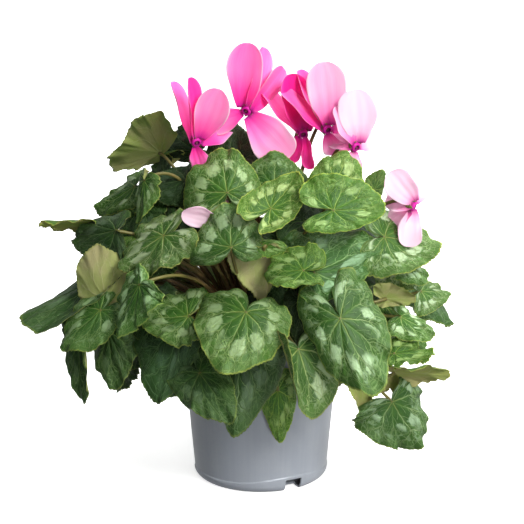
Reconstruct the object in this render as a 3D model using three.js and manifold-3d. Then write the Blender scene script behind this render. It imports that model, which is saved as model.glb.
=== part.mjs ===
// A potted cyclamen: a plastic nursery pot, its soil and tuber, long-stalked heart-shaped leaves
// in a loose dome, and nodding flowers with swept-back petals above them.
// Millimetres, +Z up. The origin is the middle of the pot's underside. The front faces -Y.

import * as THREE from 'three';
import { mergeVertices } from 'three/addons/utils/BufferGeometryUtils.js';
import Module from 'manifold-3d';

const wasm = await Module();
wasm.setup();

// ---- Driving dimensions ----------------------------------------------------------------------

const POT_HEIGHT = 105;
const POT_RIM_RADIUS = 60;
const POT_FOOT_RADIUS = 48.4; // wall radius carried down to the floor
const POT_TAPER = 0.09; // growth of the wall radius per millimetre of height
const POT_WALL = 1.5;
const POT_CORNER = 6; // rounding where the wall meets the base
const RIM_DEPTH = 8;
const RIM_BEVEL = 1.2;
const POT_SEGMENTS = 40;
const DRAIN_COUNT = 3;
const DRAIN_WIDTH = 13;
const DRAIN_HEIGHT = 9.5;
const DRAIN_INNER_RADIUS = 38;
const DRAIN_FIRST = -61; // degrees, so that one slot looks forward and to the right

const SOIL_TOP = 92;
const SOIL_MOUND = 3;
const SOIL_CHAMFER = 12;
const SOIL_SEGMENTS = 28;

const TUBER_RADIUS = 28;
const TUBER_HALF_HEIGHT = 14;
const TUBER_MIDDLE = 88;

const GAP = 0.3; // clearance between neighbouring pieces
const LEAF_THICKNESS = 1;
const RIPPLE_STEP = 2.4; // radians between the ripples of one blade's margin and the next's
const PETAL_THICKNESS = 0.8;
const PETIOLE_RADIUS = 1.4;
const STALK_RADIUS = 1.5;
const CROWN_SHARE = 0.17; // how far out on the tuber a stem starts, as a share of where it ends
const CROWN_RADIUS = 22;
const STEM_RISE = 0.5; // height that a stem climbs before it leans, as a share of its span
const PETIOLE_BEND = 0.3; // length over which a petiole turns into its blade, likewise
const STALK_BEND = 0.12; // the same for a flower stalk
const PETAL_FOOT = 3.6; // how far from the middle of the throat a petal starts
const CUP_RADIUS = 4.4;
const CUP_DEPTH = 4.5;
const CALYX_RADIUS = 4;
const CALYX_LENGTH = 3.5;
const CUP_SEGMENTS = 8;

const STEM_SIDES = 5;
const PETIOLE_STEPS = 5;
const STALK_STEPS = 7;
const STEM_ROOM = 0.6; // least room between two stems
const RIM_SPAN = 8; // how far inside the rim a stem must already be above it
const SETTLE_ROUNDS = 60;
const CHORD_SAMPLES = 10;
const MIN_SHARE = 0.1; // keeps a push close to a stem's end from swinging its middle

const DEGREE = Math.PI / 180;

// ---- The plant's leaves and flowers ------------------------------------------------------------

// place: where the petiole meets the blade. facing: azimuth of the upper face from the front
// towards +X, its elevation, and the tip's turn away from straight down the slope.
// size: junction to tip, to the left and right edges, and to the end of the basal lobes.
// turns: how far the blade has bent down by its left edge, right edge, tip and base, in degrees.
function leaf(place, facing, size, turns, wave) {
  return { place: new THREE.Vector3(...place), facing, size, turns, wave };
}

const LEAVES = [
  leaf([-10, -100, 153], [-8, 42, -20], [47, 41, 33, 17], [45, 35, 15, 30], 1.5),
  leaf([54, -108, 151], [8, 32, 22], [60, 28, 34, 24], [85, 50, 10, 10], 1.5),
  leaf([28, -94, 124], [22, 28, 12], [50, 26, 32, 9], [-120, 40, 20, 10], 1),
  leaf([-14, -80, 120], [-5, 14, -3], [64, 22, 38, 12], [60, 60, 15, 10], 1.5),
  leaf([12, -68, 86], [10, 0, 4], [42, 15, 16, 12], [40, 40, 10, 10], 1),
  leaf([-42, -90, 104], [-22, 36, 48], [46, 34, 20, 20], [45, 40, 15, 10], 1.5),
  leaf([-54, -72, 138], [-20, 20, -14], [62, 46, 18, 6], [45, 40, 10, 10], 1.5),
  leaf([-108, -48, 123], [-30, 10, 10], [44, 22, 24, 8], [30, 30, 10, 10], 1.5),
  leaf([-112, -62, 143], [-30, 38, -36], [42, 23, 20, 14], [30, 60, 10, 10], 1.5),
  leaf([-112, -32, 160], [-35, 32, -38], [72, 18, 27, 12], [60, -70, -30, 10], 1.5),
  leaf([-130, -45, 121], [-20, 5, 3], [55, 16, 18, 8], [40, -110, 10, 10], 1.5),
  leaf([-83, -88, 169], [-50, 15, -26], [46, 19, 21, 8], [30, 30, 10, 10], 1.5),
  leaf([-50, -80, 144], [-20, 48, -82], [37, 38, 20, 8], [50, 40, 10, 10], 2),
  leaf([-109, -50, 147], [170, 20, 176], [43, 19, 20, 12], [-40, -40, -30, 10], 0.8),
  leaf([-67, -66, 198], [-25, 42, -48], [42, 24, 22, 18], [40, 40, 25, 10], 2),
  leaf([-101, -48, 197], [-40, 28, -72], [46, 20, 24, 6], [50, 40, 10, 10], 1.5),
  leaf([-117, -20, 196], [180, 62, 90], [42, 16, 12, 8], [30, 30, 0, 10], 1),
  leaf([-89, -20, 222], [-48, 30, -52], [42, 16, 14, 8], [40, 40, 10, 10], 1.5),
  leaf([-81, -40, 231], [-48, 10, -8], [32, 19, 12, 6], [80, 30, 10, 10], 1),
  leaf([-72, 10, 242], [165, 15, 80], [41, 11, 27, 18], [20, 20, 0, 10], 1),
  leaf([-23, -55, 226], [-15, 35, -162], [40, 27, 38, 13], [60, 40, 10, 10], 2),
  leaf([-20, -85, 194], [-10, 42, -166], [38, 24, 38, 13], [45, 45, 10, 20], 1.5),
  leaf([3, -71, 196], [170, 10, 8], [42, 6, 24, 8], [20, 30, 0, 10], 0.8),
  leaf([7, -68, 218], [5, 46, 138], [32, 23, 19, 21], [-55, -55, -40, -30], 1),
  leaf([10, -42, 228], [0, 25, 180], [25, 31, 29, 5], [60, 60, 10, 10], 1),
  leaf([51, -55, 229], [10, 35, 156], [33, 26, 22, 5], [40, 40, 10, 10], 1.5),
  leaf([50, -78, 219], [5, 38, 92], [40, 17, 26, 18], [-25, -30, 15, 10], 1.2),
  leaf([37, -85, 177], [10, 42, 113], [58, 22, 43, 14], [30, 40, 10, 10], 2),
  leaf([29, -94, 181], [0, 50, -92], [31, 18, 18, 12], [-40, -40, 40, 10], 1.5),
  leaf([86, -58, 195], [30, 34, 74], [45, 28, 30, 4], [40, 40, 10, 10], 2),
  leaf([115, -25, 146], [38, 35, 78], [29, 17, 10, 6], [30, 30, 10, 10], 1),
  leaf([99, -45, 133], [35, 30, 56], [35, 15, 13, 6], [40, 40, 10, 10], 1.5),
  leaf([95, -52, 108], [20, 55, 80], [32, 12, 12, 6], [-30, -30, 0, 10], 2.5),
  leaf([95, -50, 93], [165, 35, -98], [42, 16, 14, 8], [40, 40, 0, 10], 1.5),
  leaf([93, -64, 76], [25, 8, 30], [46, 30, 36, 8], [30, 60, 10, 10], 2.5),
  leaf([112, 30, 150], [75, 38, 10], [54, 38, 36, 18], [40, 40, 15, 15], 2),
  leaf([92, 72, 118], [118, 30, -10], [56, 38, 38, 18], [40, 35, 15, 15], 2),
  leaf([38, 98, 146], [158, 36, 12], [56, 38, 40, 18], [35, 45, 15, 15], 2),
  leaf([-30, 100, 122], [190, 32, -12], [58, 40, 38, 18], [40, 40, 15, 15], 2),
  leaf([-88, 66, 142], [228, 34, 10], [56, 38, 38, 18], [45, 35, 15, 15], 2),
  leaf([-122, 18, 140], [268, 32, -8], [52, 36, 36, 16], [40, 40, 15, 15], 2),
  leaf([62, 52, 205], [140, 52, -14], [48, 36, 34, 16], [35, 35, 15, 15], 2),
  leaf([-40, 60, 212], [205, 50, 14], [50, 36, 36, 16], [35, 35, 15, 15], 2),
];

// base: the throat of the flower. mouth: azimuth and elevation that the throat looks to.
function flower(base, mouth, petals) {
  return { base: new THREE.Vector3(...base), mouth, petals };
}

// angle: clockwise from upright, seen from the front. lean: towards the front. face: turn about
// its own length. channel, bend and twist: how far it has curled by its edges and its tip.
function petal(angle, lean, face, length, width, channel, bend, twist) {
  return { angle, lean, face, length, width, channel, bend, twist };
}

const FLOWERS = [
  flower([-45, -25, 255], [20, -25], [
    petal(-14, -5, 60, 45, 19, 40, 10, 0),
    petal(-2, 5, 55, 45, 20, 45, 5, 10),
    petal(18, 5, 12, 40, 22, 35, 10, -10),
    petal(165, 10, 10, 18, 14, 20, 20, 0),
    petal(60, -45, 0, 36, 20, 30, 10, 0),
  ]),
  flower([-10, -15, 276], [-25, -15], [
    petal(5, 5, -10, 48, 26, 35, 10, 10),
    petal(20, -15, 45, 44, 20, 40, 10, 0),
    petal(-112, -5, 15, 26, 18, 30, 15, 0),
    petal(134, 25, -5, 40, 29, 20, 25, 0),
    petal(42, -20, 30, 40, 18, 30, 10, 0),
  ]),
  flower([30, -10, 258], [10, -30], [
    petal(-14, 5, 20, 43, 24, 45, 5, 10),
    petal(0, -5, -20, 41, 24, 40, 5, 0),
    petal(-38, 0, 65, 42, 22, 30, 5, 0),
    petal(172, 10, 40, 24, 14, 40, 5, 0),
    petal(-155, -15, 20, 22, 16, 20, 5, 0),
  ]),
  flower([47, -20, 264], [25, -20], [
    petal(-7, 8, 0, 46, 28, 25, 15, -5),
    petal(-24, -12, 55, 44, 20, 40, 5, 0),
    petal(-42, 5, 60, 44, 18, 30, 5, 0),
    petal(70, -40, 20, 34, 20, 30, 5, 0),
    petal(150, -15, 20, 20, 18, 30, 10, 0),
  ]),
  flower([67, -15, 249], [35, -20], [
    petal(-5, 8, 5, 38, 26, 30, 15, 0),
    petal(-24, 5, 40, 30, 18, 30, 10, 0),
    petal(-168, 15, 0, 14, 13, 20, 10, 0),
    petal(60, -50, 20, 30, 18, 30, 5, 0),
    petal(-60, -50, 20, 28, 18, 30, 5, 0),
  ]),
  flower([106, -45, 214], [70, -20], [
    petal(-38, 30, 0, 31, 21, 30, 30, 0),
    petal(187, 20, 0, 27, 17, 30, 20, 0),
    petal(-80, -40, 20, 24, 16, 30, 10, 0),
    petal(-130, -30, 20, 22, 16, 30, 10, 0),
    petal(20, -50, 20, 20, 16, 30, 10, 0),
  ]),
  flower([-22, -60, 203], [-60, -20], [
    petal(-72, 5, -20, 32, 18, 30, -10, 0),
    petal(-100, -30, 20, 26, 16, 30, 10, 0),
    petal(170, -20, 0, 22, 14, 30, 10, 0),
    petal(60, -40, 0, 20, 14, 30, 10, 0),
    petal(0, -50, 0, 20, 14, 30, 10, 0),
  ]),
];

// ---- Solids ------------------------------------------------------------------------------------

function toSolid(geometry) {
  const bare = geometry.clone();
  bare.deleteAttribute('normal');
  bare.deleteAttribute('uv');
  const merged = mergeVertices(bare, 1e-4);
  const mesh = new wasm.Mesh({
    numProp: 3,
    vertProperties: new Float32Array(merged.attributes.position.array),
    triVerts: new Uint32Array(merged.index.array),
  });
  return new wasm.Manifold(mesh);
}

function toGeometry(solid) {
  const mesh = solid.getMesh();
  const geometry = new THREE.BufferGeometry();
  geometry.setAttribute('position', new THREE.BufferAttribute(mesh.vertProperties, 3));
  geometry.setIndex(new THREE.BufferAttribute(mesh.triVerts, 1));
  geometry.computeVertexNormals();
  return geometry;
}

function boxesMeet(a, b) {
  const first = a.boundingBox();
  const second = b.boundingBox();
  return [0, 1, 2].every((i) => first.min[i] < second.max[i] && second.min[i] < first.max[i]);
}

// What is left of a solid once its neighbours' clearance is taken out of it, in one piece.
function clearOf(solid, neighbours) {
  let left = solid;
  for (const other of neighbours) {
    if (boxesMeet(left, other)) left = left.subtract(other);
  }
  const pieces = left.decompose();
  pieces.sort((a, b) => b.volume() - a.volume());
  return pieces[0];
}

// ---- Sheets: leaf blades and petals ------------------------------------------------------------

// A point of an arc that starts flat and has turned down by `turn` degrees after one unit.
function arc(turn, distance) {
  const angle = turn * DEGREE;
  if (Math.abs(angle) < 1e-4) return { along: distance, drop: 0, slope: 0 };
  return {
    along: Math.sin(angle * distance) / angle,
    drop: (1 - Math.cos(angle * distance)) / angle,
    slope: angle * distance,
  };
}

// A closed two-sided sheet over a grid of points, grid[row][column](side). The first row may be
// a single point; `round` closes each row on itself.
function sheetGeometry(rows, columns, round, pointAt) {
  const positions = [];
  const index = [];
  const perSide = rows * columns;
  for (const side of [1, -1]) {
    for (let row = 0; row < rows; row += 1) {
      for (let column = 0; column < columns; column += 1) {
        positions.push(...pointAt(row, column, side).toArray());
      }
    }
  }
  const quad = (a, b, c, d) => index.push(a, b, c, a, c, d);
  const wraps = round ? columns : columns - 1;
  for (let row = 0; row < rows - 1; row += 1) {
    for (let column = 0; column < wraps; column += 1) {
      const a = row * columns + column;
      const b = row * columns + ((column + 1) % columns);
      quad(a, b, b + columns, a + columns);
      quad(perSide + a, perSide + a + columns, perSide + b + columns, perSide + b);
    }
  }
  const rim = [];
  const last = (rows - 1) * columns;
  if (round) {
    for (let column = 0; column < columns; column += 1) rim.push(last + column);
  } else {
    for (let column = 0; column < columns; column += 1) rim.push(last + column);
    for (let row = rows - 2; row >= 0; row -= 1) rim.push(row * columns + columns - 1);
    for (let column = columns - 2; column >= 0; column -= 1) rim.push(column);
    for (let row = 1; row < rows - 1; row += 1) rim.push(row * columns);
  }
  rim.forEach((from, i) => {
    const to = rim[(i + 1) % rim.length];
    quad(from, to, perSide + to, perSide + from);
  });
  const geometry = new THREE.BufferGeometry();
  geometry.setAttribute('position', new THREE.Float32BufferAttribute(positions, 3));
  geometry.setIndex(index);
  return geometry;
}

// A sheet as a solid; the faces are turned outwards whichever way the sheet was wound.
function sheetSolid(geometry) {
  const merged = mergeVertices(geometry, 1e-4);
  const kept = [];
  const old = merged.index.array;
  for (let i = 0; i < old.length; i += 3) {
    const [a, b, c] = [old[i], old[i + 1], old[i + 2]];
    if (a !== b && b !== c && a !== c) kept.push(a, b, c);
  }
  merged.setIndex(kept);
  const solid = toSolid(merged);
  if (solid.volume() > 0) return solid;
  const turned = [];
  for (let i = 0; i < kept.length; i += 3) turned.push(kept[i], kept[i + 2], kept[i + 1]);
  merged.setIndex(turned);
  return toSolid(merged);
}

// ---- Leaves --------------------------------------------------------------------------------------

// Spokes of the blade, in degrees from the tip, closer together at the sinus.
const SPOKES = [-168, -140, -105, -68, -30, 0, 30, 68, 105, 140, 168, 180];
const RINGS = [0, 0.5, 1];
const BLADE_REACH = 0.82; // margin radius over most of the outline, in junction-to-tip lengths
const LOBE_REACH = 0.6; // how far the basal lobes go back, likewise

// Margin of a heart-shaped blade: side and along are each 1 at the widest and longest places.
function heartOutline(degrees) {
  const fromTip = Math.abs(degrees);
  const fromSinus = 180 - fromTip;
  const point = 0.18 * Math.exp(-((fromTip / 22) ** 2));
  const lobes = 0.3 * Math.exp(-((fromSinus / 32) ** 2));
  const sinus = 1 - 0.9 * Math.exp(-((fromSinus / 6) ** 2));
  const radius = (BLADE_REACH + point - lobes) * sinus;
  const side = (radius * Math.sin(degrees * DEGREE)) / BLADE_REACH;
  const along = radius * Math.cos(degrees * DEGREE);
  return { side, along: along < 0 ? along / LOBE_REACH : along };
}

// Right, tip and face directions of a leaf.
function leafAxes([azimuth, elevation, spin]) {
  const a = azimuth * DEGREE;
  const e = elevation * DEGREE;
  const face = new THREE.Vector3(Math.sin(a) * Math.cos(e), -Math.cos(a) * Math.cos(e), Math.sin(e));
  const slope = new THREE.Vector3(Math.sin(a) * Math.sin(e), -Math.cos(a) * Math.sin(e), -Math.cos(e));
  const tip = slope.applyAxisAngle(face, spin * DEGREE);
  const right = face.clone().cross(tip);
  return { right, tip, face };
}

// A point of a blade on the spoke at `degrees`, a share of the way from the petiole to the margin.
function bladePoint(spec, degrees, fraction, lift) {
  const [toTip, toLeft, toRight, toBase] = spec.size;
  const [leftTurn, rightTurn, tipTurn, baseTurn] = spec.turns;
  const margin = heartOutline(degrees);
  const isRight = margin.side > 0;
  const isTip = margin.along > 0;
  const width = isRight ? toRight : toLeft;
  const length = isTip ? toTip : toBase;
  const across = arc(isRight ? rightTurn : leftTurn, Math.abs(margin.side) * fraction);
  const along = arc(isTip ? tipTurn : baseTurn, Math.abs(margin.along) * fraction);
  const ripple = spec.wave * fraction ** 2 * Math.sin(5 * degrees * DEGREE + spec.phase);
  const side = across.along * width + lift * Math.sin(across.slope);
  const height = ripple - across.drop * width + lift * Math.cos(across.slope);
  const reach = along.along * length + height * Math.sin(along.slope);
  const rise = height * Math.cos(along.slope) - along.drop * length;
  const { right, tip, face } = spec.axes;
  return spec.place.clone()
    .addScaledVector(right, isRight ? side : -side)
    .addScaledVector(tip, isTip ? reach : -reach)
    .addScaledVector(face, rise);
}

function bladeSolid(spec, clearance) {
  const half = LEAF_THICKNESS / 2 + clearance;
  const grow = 1 + clearance / Math.min(...spec.size.slice(0, 3));
  const geometry = sheetGeometry(RINGS.length, SPOKES.length, true, (ring, spoke, side) => {
    const fraction = RINGS[ring] * grow;
    return bladePoint(spec, SPOKES[spoke], fraction, side * half);
  });
  return sheetSolid(geometry);
}

// ---- Stems ---------------------------------------------------------------------------------------

// Height of the tuber's upper surface.
function tuberHeight(x, y) {
  const inside = 1 - (x * x + y * y) / TUBER_RADIUS ** 2;
  return TUBER_MIDDLE + TUBER_HALF_HEIGHT * Math.sqrt(Math.max(inside, 0));
}

// A stem: a cubic curve from the crown to `end`, which it reaches along `arrival`. It leaves the
// tuber on the side where it ends, climbs, and then leans out.
function stemTo(end, arrival, bend, radius, steps) {
  const foot = new THREE.Vector2(end.x, end.y).multiplyScalar(CROWN_SHARE);
  foot.clampLength(0, CROWN_RADIUS);
  const start = new THREE.Vector3(foot.x, foot.y, tuberHeight(foot.x, foot.y) - 1);
  const span = start.distanceTo(end);
  const rise = start.clone().add(new THREE.Vector3(start.x, start.y, STEM_RISE * span));
  const turn = end.clone().addScaledVector(arrival, -bend * span);
  return { path: new THREE.CubicBezierCurve3(start, rise, turn, end), radius, steps };
}

// Points close together along the straight lengths that a stem is made of.
function stemLine(stem) {
  const corners = stem.path.getSpacedPoints(stem.steps);
  const points = [];
  for (let i = 0; i < stem.steps; i += 1) {
    for (let k = 0; k < CHORD_SAMPLES; k += 1) {
      points.push(corners[i].clone().lerp(corners[i + 1], k / CHORD_SAMPLES));
    }
  }
  return points;
}

// Moves a stem by `push` at the place `t` along it. Its far end stays, and its foot stays on
// the crown.
function pushStem(stem, t, push) {
  const shares = [(1 - t) ** 3, 3 * t * (1 - t) ** 2, 3 * t * t * (1 - t)];
  const whole = Math.max(MIN_SHARE, shares.reduce((sum, share) => sum + share * share, 0));
  const { v0, v1, v2 } = stem.path;
  [v0, v1, v2].forEach((control, i) => control.addScaledVector(push, shares[i] / whole));
  const foot = new THREE.Vector2(v0.x, v0.y).clampLength(0, CROWN_RADIUS);
  v0.set(foot.x, foot.y, tuberHeight(foot.x, foot.y) - 1);
}

// Pushes two stems apart where they come closest, if that is too close.
function partStems(first, second, firstLine, secondLine) {
  const apart = first.radius + second.radius + STEM_ROOM;
  let nearest = apart;
  let meeting = null;
  firstLine.forEach((a, i) => {
    secondLine.forEach((b, j) => {
      const distance = a.distanceTo(b);
      if (distance < nearest) {
        nearest = distance;
        meeting = [i, j];
      }
    });
  });
  if (!meeting) return;
  const [i, j] = meeting;
  const away = firstLine[i].clone().sub(secondLine[j]);
  if (away.length() < 1e-3) away.set(1, 0, 0);
  away.setLength((apart - nearest) / 2 + 0.1);
  pushStem(first, i / firstLine.length, away);
  pushStem(second, j / secondLine.length, away.negate());
}

// Stems that grow too close push one another aside, and none passes through the pot's rim.
function settleStems(stems) {
  const aboveRim = POT_HEIGHT + STEM_ROOM;
  for (let round = 0; round < SETTLE_ROUNDS; round += 1) {
    const lines = stems.map(stemLine);
    for (let i = 0; i < stems.length; i += 1) {
      for (let j = i + 1; j < stems.length; j += 1) {
        partStems(stems[i], stems[j], lines[i], lines[j]);
      }
      lines[i].forEach((point, k) => {
        const out = Math.hypot(point.x, point.y);
        const low = aboveRim + stems[i].radius - point.z;
        const isInside = out < POT_RIM_RADIUS - RIM_SPAN;
        const isOutside = out > POT_RIM_RADIUS + stems[i].radius + STEM_ROOM;
        if (isInside || isOutside || low <= 0) return;
        pushStem(stems[i], k / lines[i].length, new THREE.Vector3(0, 0, low / 4));
      });
    }
  }
}

function stemSolid({ path, radius, steps }, clearance) {
  const section = new THREE.Shape();
  for (let i = 0; i < STEM_SIDES; i += 1) {
    const angle = (i / STEM_SIDES) * 2 * Math.PI;
    const [x, y] = [Math.cos(angle), Math.sin(angle)].map((share) => share * (radius + clearance));
    if (i === 0) section.moveTo(x, y);
    else section.lineTo(x, y);
  }
  return toSolid(new THREE.ExtrudeGeometry(section, { steps, extrudePath: path }));
}

// A petiole comes to its blade from behind and from the side of the basal lobes.
function leafStem(spec) {
  const { tip, face } = spec.axes;
  const arrival = face.clone().multiplyScalar(0.8).addScaledVector(tip, 0.6).normalize();
  const end = spec.place.clone().addScaledVector(face, -0.2);
  return stemTo(end, arrival, PETIOLE_BEND, PETIOLE_RADIUS, PETIOLE_STEPS);
}

// ---- Flowers -------------------------------------------------------------------------------------

const PETAL_STATIONS = [0, 0.3, 0.62, 0.88, 1];
const PETAL_COLUMNS = [-1, 0, 1];
const PETAL_WIDEST = 0.62; // where along its length a petal is widest
const PETAL_BASE_SHARE = 0.3; // width at the throat, as a share of the widest

// Half width of a petal, as a share of its widest, from its foot at 0 to its tip at 1.
function petalHalfWidth(station) {
  if (station < PETAL_WIDEST) {
    const swell = Math.sin((Math.PI / 2) * (station / PETAL_WIDEST)) ** 1.3;
    return PETAL_BASE_SHARE + (1 - PETAL_BASE_SHARE) * swell;
  }
  const beyond = (station - PETAL_WIDEST) / (1 - PETAL_WIDEST);
  return Math.sqrt(Math.max(0, 1 - beyond ** 2.4));
}

// A point of a petal: station along it, column across it from -1 to 1, and height off its middle.
function petalPoint(base, spec, station, column, lift) {
  const angle = spec.angle * DEGREE;
  const lean = spec.lean * DEGREE;
  const axis = new THREE.Vector3(
    Math.sin(angle) * Math.cos(lean),
    -Math.sin(lean),
    Math.cos(angle) * Math.cos(lean),
  );
  const front = new THREE.Vector3(0, -1, 0).addScaledVector(axis, axis.y).normalize();
  const turn = (spec.face + spec.twist * station) * DEGREE;
  const across = front.clone().cross(axis).applyAxisAngle(axis, turn);
  const face = axis.clone().cross(across);
  const half = (petalHalfWidth(station) * spec.width) / 2;
  const curl = arc(-spec.channel, Math.abs(column));
  const sweep = arc(spec.bend, station);
  const side = curl.along * half + lift * Math.sin(curl.slope);
  const height = lift * Math.cos(curl.slope) - curl.drop * half;
  return base.clone()
    .addScaledVector(across, column > 0 ? side : -side)
    .addScaledVector(axis, sweep.along * spec.length + height * Math.sin(sweep.slope))
    .addScaledVector(face, height * Math.cos(sweep.slope) - sweep.drop * spec.length);
}

function petalSolid(base, spec) {
  const half = PETAL_THICKNESS / 2;
  const rows = PETAL_STATIONS.length;
  const geometry = sheetGeometry(rows, PETAL_COLUMNS.length, false, (row, column, side) => (
    petalPoint(base, spec, PETAL_STATIONS[row], PETAL_COLUMNS[column], side * half)
  ));
  return sheetSolid(geometry);
}

function mouthDirection([azimuth, elevation]) {
  const a = azimuth * DEGREE;
  const e = elevation * DEGREE;
  return new THREE.Vector3(Math.sin(a) * Math.cos(e), -Math.cos(a) * Math.cos(e), Math.sin(e));
}

// A turned solid whose axis, from `foot`, points along `direction`.
function turnedSolid(profile, segments, foot, direction) {
  const points = profile.map(([r, h]) => new THREE.Vector2(r, h));
  const geometry = new THREE.LatheGeometry(points, segments);
  const aim = new THREE.Quaternion().setFromUnitVectors(new THREE.Vector3(0, 1, 0), direction);
  geometry.applyQuaternion(aim);
  geometry.translate(foot.x, foot.y, foot.z);
  return sheetSolid(geometry);
}

// The fused base of the petals: a short cup that is open at the mouth.
function cupSolid(spec) {
  const mouth = mouthDirection(spec.mouth);
  const foot = spec.base.clone().addScaledVector(mouth, -CUP_DEPTH / 2);
  const [r, d] = [CUP_RADIUS, CUP_DEPTH];
  const outside = [[0, 0], [0.7 * r, 0], [r, 0.4 * d], [r, d]];
  const inside = [[0.75 * r, d], [0.55 * r, 0.4 * d], [0, 0.4 * d]];
  return turnedSolid([...outside, ...inside], CUP_SEGMENTS, foot, mouth);
}

// Where each petal leaves the rim of the cup. The five stand evenly round it, in the order of
// the ways they point, and the ring is turned to suit them best.
function petalFeet(spec) {
  const mouth = mouthDirection(spec.mouth);
  const up = new THREE.Vector3(0, 0, 1).addScaledVector(mouth, -mouth.z).normalize();
  const right = mouth.clone().cross(up).negate();
  const order = spec.petals.map((_, i) => i);
  order.sort((i, j) => spec.petals[i].angle - spec.petals[j].angle);
  const share = 360 / order.length;
  let [x, y] = [0, 0];
  order.forEach((i, k) => {
    const miss = (spec.petals[i].angle - share * k) * DEGREE;
    x += Math.cos(miss);
    y += Math.sin(miss);
  });
  const first = Math.atan2(y, x);
  const feet = [];
  order.forEach((i, k) => {
    const angle = first + share * k * DEGREE;
    feet[i] = spec.base.clone()
      .addScaledVector(up, PETAL_FOOT * Math.cos(angle))
      .addScaledVector(right, PETAL_FOOT * Math.sin(angle));
  });
  return feet;
}

function corollaSolid(spec) {
  const feet = petalFeet(spec);
  return spec.petals.reduce((whole, one, i) => whole.add(petalSolid(feet[i], one)), cupSolid(spec));
}

// The flower stalk, with the crook that lets the flower nod.
function flowerStem(spec) {
  const mouth = mouthDirection(spec.mouth);
  const arrival = mouth.clone().add(new THREE.Vector3(0, 0, -0.4)).normalize();
  const end = spec.base.clone().addScaledVector(mouth, -CUP_DEPTH / 2 - GAP - CALYX_LENGTH + 1);
  return stemTo(end, arrival, STALK_BEND, STALK_RADIUS, STALK_STEPS);
}

// The calyx that backs the cup.
function calyxSolid(spec, clearance) {
  const mouth = mouthDirection(spec.mouth);
  const foot = spec.base.clone().addScaledVector(mouth, -CUP_DEPTH / 2 - GAP - CALYX_LENGTH);
  const r = CALYX_RADIUS + clearance;
  const profile = [[0, 0], [0.5 * r, 0], [r, CALYX_LENGTH], [0, CALYX_LENGTH]];
  return turnedSolid(profile, CUP_SEGMENTS, foot, mouth);
}

// ---- Pot, soil and tuber -------------------------------------------------------------------------

function wallRadius(z) {
  return POT_FOOT_RADIUS + POT_TAPER * z;
}

// A turned solid about +Z, from [radius, height] pairs.
function uprightLathe(profile, segments) {
  const points = profile.map(([r, z]) => new THREE.Vector2(r, z));
  const geometry = new THREE.LatheGeometry(points, segments);
  geometry.rotateX(Math.PI / 2);
  return sheetSolid(geometry);
}

// The nursery pot: a thin tapered wall, a stepped-out rim, and drain slots where wall meets base.
function potSolid() {
  const shoulder = POT_HEIGHT - RIM_DEPTH;
  const corner = [0, 30, 60, 90].map((degrees) => {
    const a = degrees * DEGREE;
    const centre = wallRadius(POT_CORNER) - POT_CORNER;
    return [centre + POT_CORNER * Math.sin(a), POT_CORNER * (1 - Math.cos(a))];
  });
  const inner = (z) => wallRadius(z) - POT_WALL;
  const profile = [
    [0, 0],
    ...corner,
    [wallRadius(shoulder), shoulder],
    [POT_RIM_RADIUS - 0.6, shoulder + 1],
    [POT_RIM_RADIUS, POT_HEIGHT - RIM_BEVEL],
    [POT_RIM_RADIUS - RIM_BEVEL, POT_HEIGHT],
    [inner(POT_HEIGHT), POT_HEIGHT],
    [inner(POT_CORNER), POT_CORNER],
    [inner(POT_CORNER) - 2, POT_WALL],
    [0, POT_WALL],
  ];
  let pot = uprightLathe(profile, POT_SEGMENTS);
  for (let i = 0; i < DRAIN_COUNT; i += 1) {
    const angle = (DRAIN_FIRST + (360 / DRAIN_COUNT) * i) * DEGREE;
    const depth = POT_FOOT_RADIUS + 4 - DRAIN_INNER_RADIUS;
    const slot = new THREE.BoxGeometry(depth, DRAIN_WIDTH, DRAIN_HEIGHT + 2);
    slot.translate(DRAIN_INNER_RADIUS + depth / 2, 0, (DRAIN_HEIGHT - 2) / 2);
    slot.rotateZ(angle);
    pot = pot.subtract(toSolid(slot));
  }
  return pot;
}

// The room that the pot takes up, soil and all, which leaves hang outside of.
function potRoom() {
  const r = POT_RIM_RADIUS + GAP;
  const shoulder = POT_HEIGHT - RIM_DEPTH - GAP;
  const top = POT_HEIGHT + GAP;
  const profile = [
    [0, -1],
    [wallRadius(0) + GAP, -1],
    [wallRadius(shoulder) + GAP, shoulder],
    [r, shoulder],
    [r, top],
    [0, top],
  ];
  return uprightLathe(profile, POT_SEGMENTS);
}

function tuberSolid(clearance) {
  const ball = new THREE.SphereGeometry(1, 18, 8);
  const [r, h] = [TUBER_RADIUS + clearance, TUBER_HALF_HEIGHT + clearance];
  ball.rotateX(Math.PI / 2);
  ball.scale(r, r, h);
  ball.translate(0, 0, TUBER_MIDDLE);
  return sheetSolid(ball);
}

function soilSolid() {
  const side = (z) => wallRadius(z) - POT_WALL - GAP;
  const floor = POT_WALL + GAP;
  const profile = [
    [0, floor],
    [DRAIN_INNER_RADIUS - 1, floor],
    [side(SOIL_CHAMFER), SOIL_CHAMFER],
    [side(SOIL_TOP), SOIL_TOP],
    [0.6 * side(SOIL_TOP), SOIL_TOP + 0.7 * SOIL_MOUND],
    [0, SOIL_TOP + SOIL_MOUND],
  ];
  return uprightLathe(profile, SOIL_SEGMENTS).subtract(tuberSolid(GAP));
}

// ---- Assembly ------------------------------------------------------------------------------------

const MATERIALS = {
  pot: new THREE.MeshStandardMaterial({ color: 0x9499a0, roughness: 0.42, metalness: 0.15 }),
  soil: new THREE.MeshStandardMaterial({ color: 0x2b2018, roughness: 0.95, metalness: 0 }),
  tuber: new THREE.MeshStandardMaterial({ color: 0x5b4433, roughness: 0.85, metalness: 0 }),
  leaf: new THREE.MeshStandardMaterial({ color: 0x4d7a47, roughness: 0.5, metalness: 0 }),
  petal: new THREE.MeshStandardMaterial({ color: 0xff6fc0, roughness: 0.55, metalness: 0 }),
  stalk: new THREE.MeshStandardMaterial({ color: 0x8a5f4a, roughness: 0.55, metalness: 0 }),
};

const group = new THREE.Group();

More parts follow.
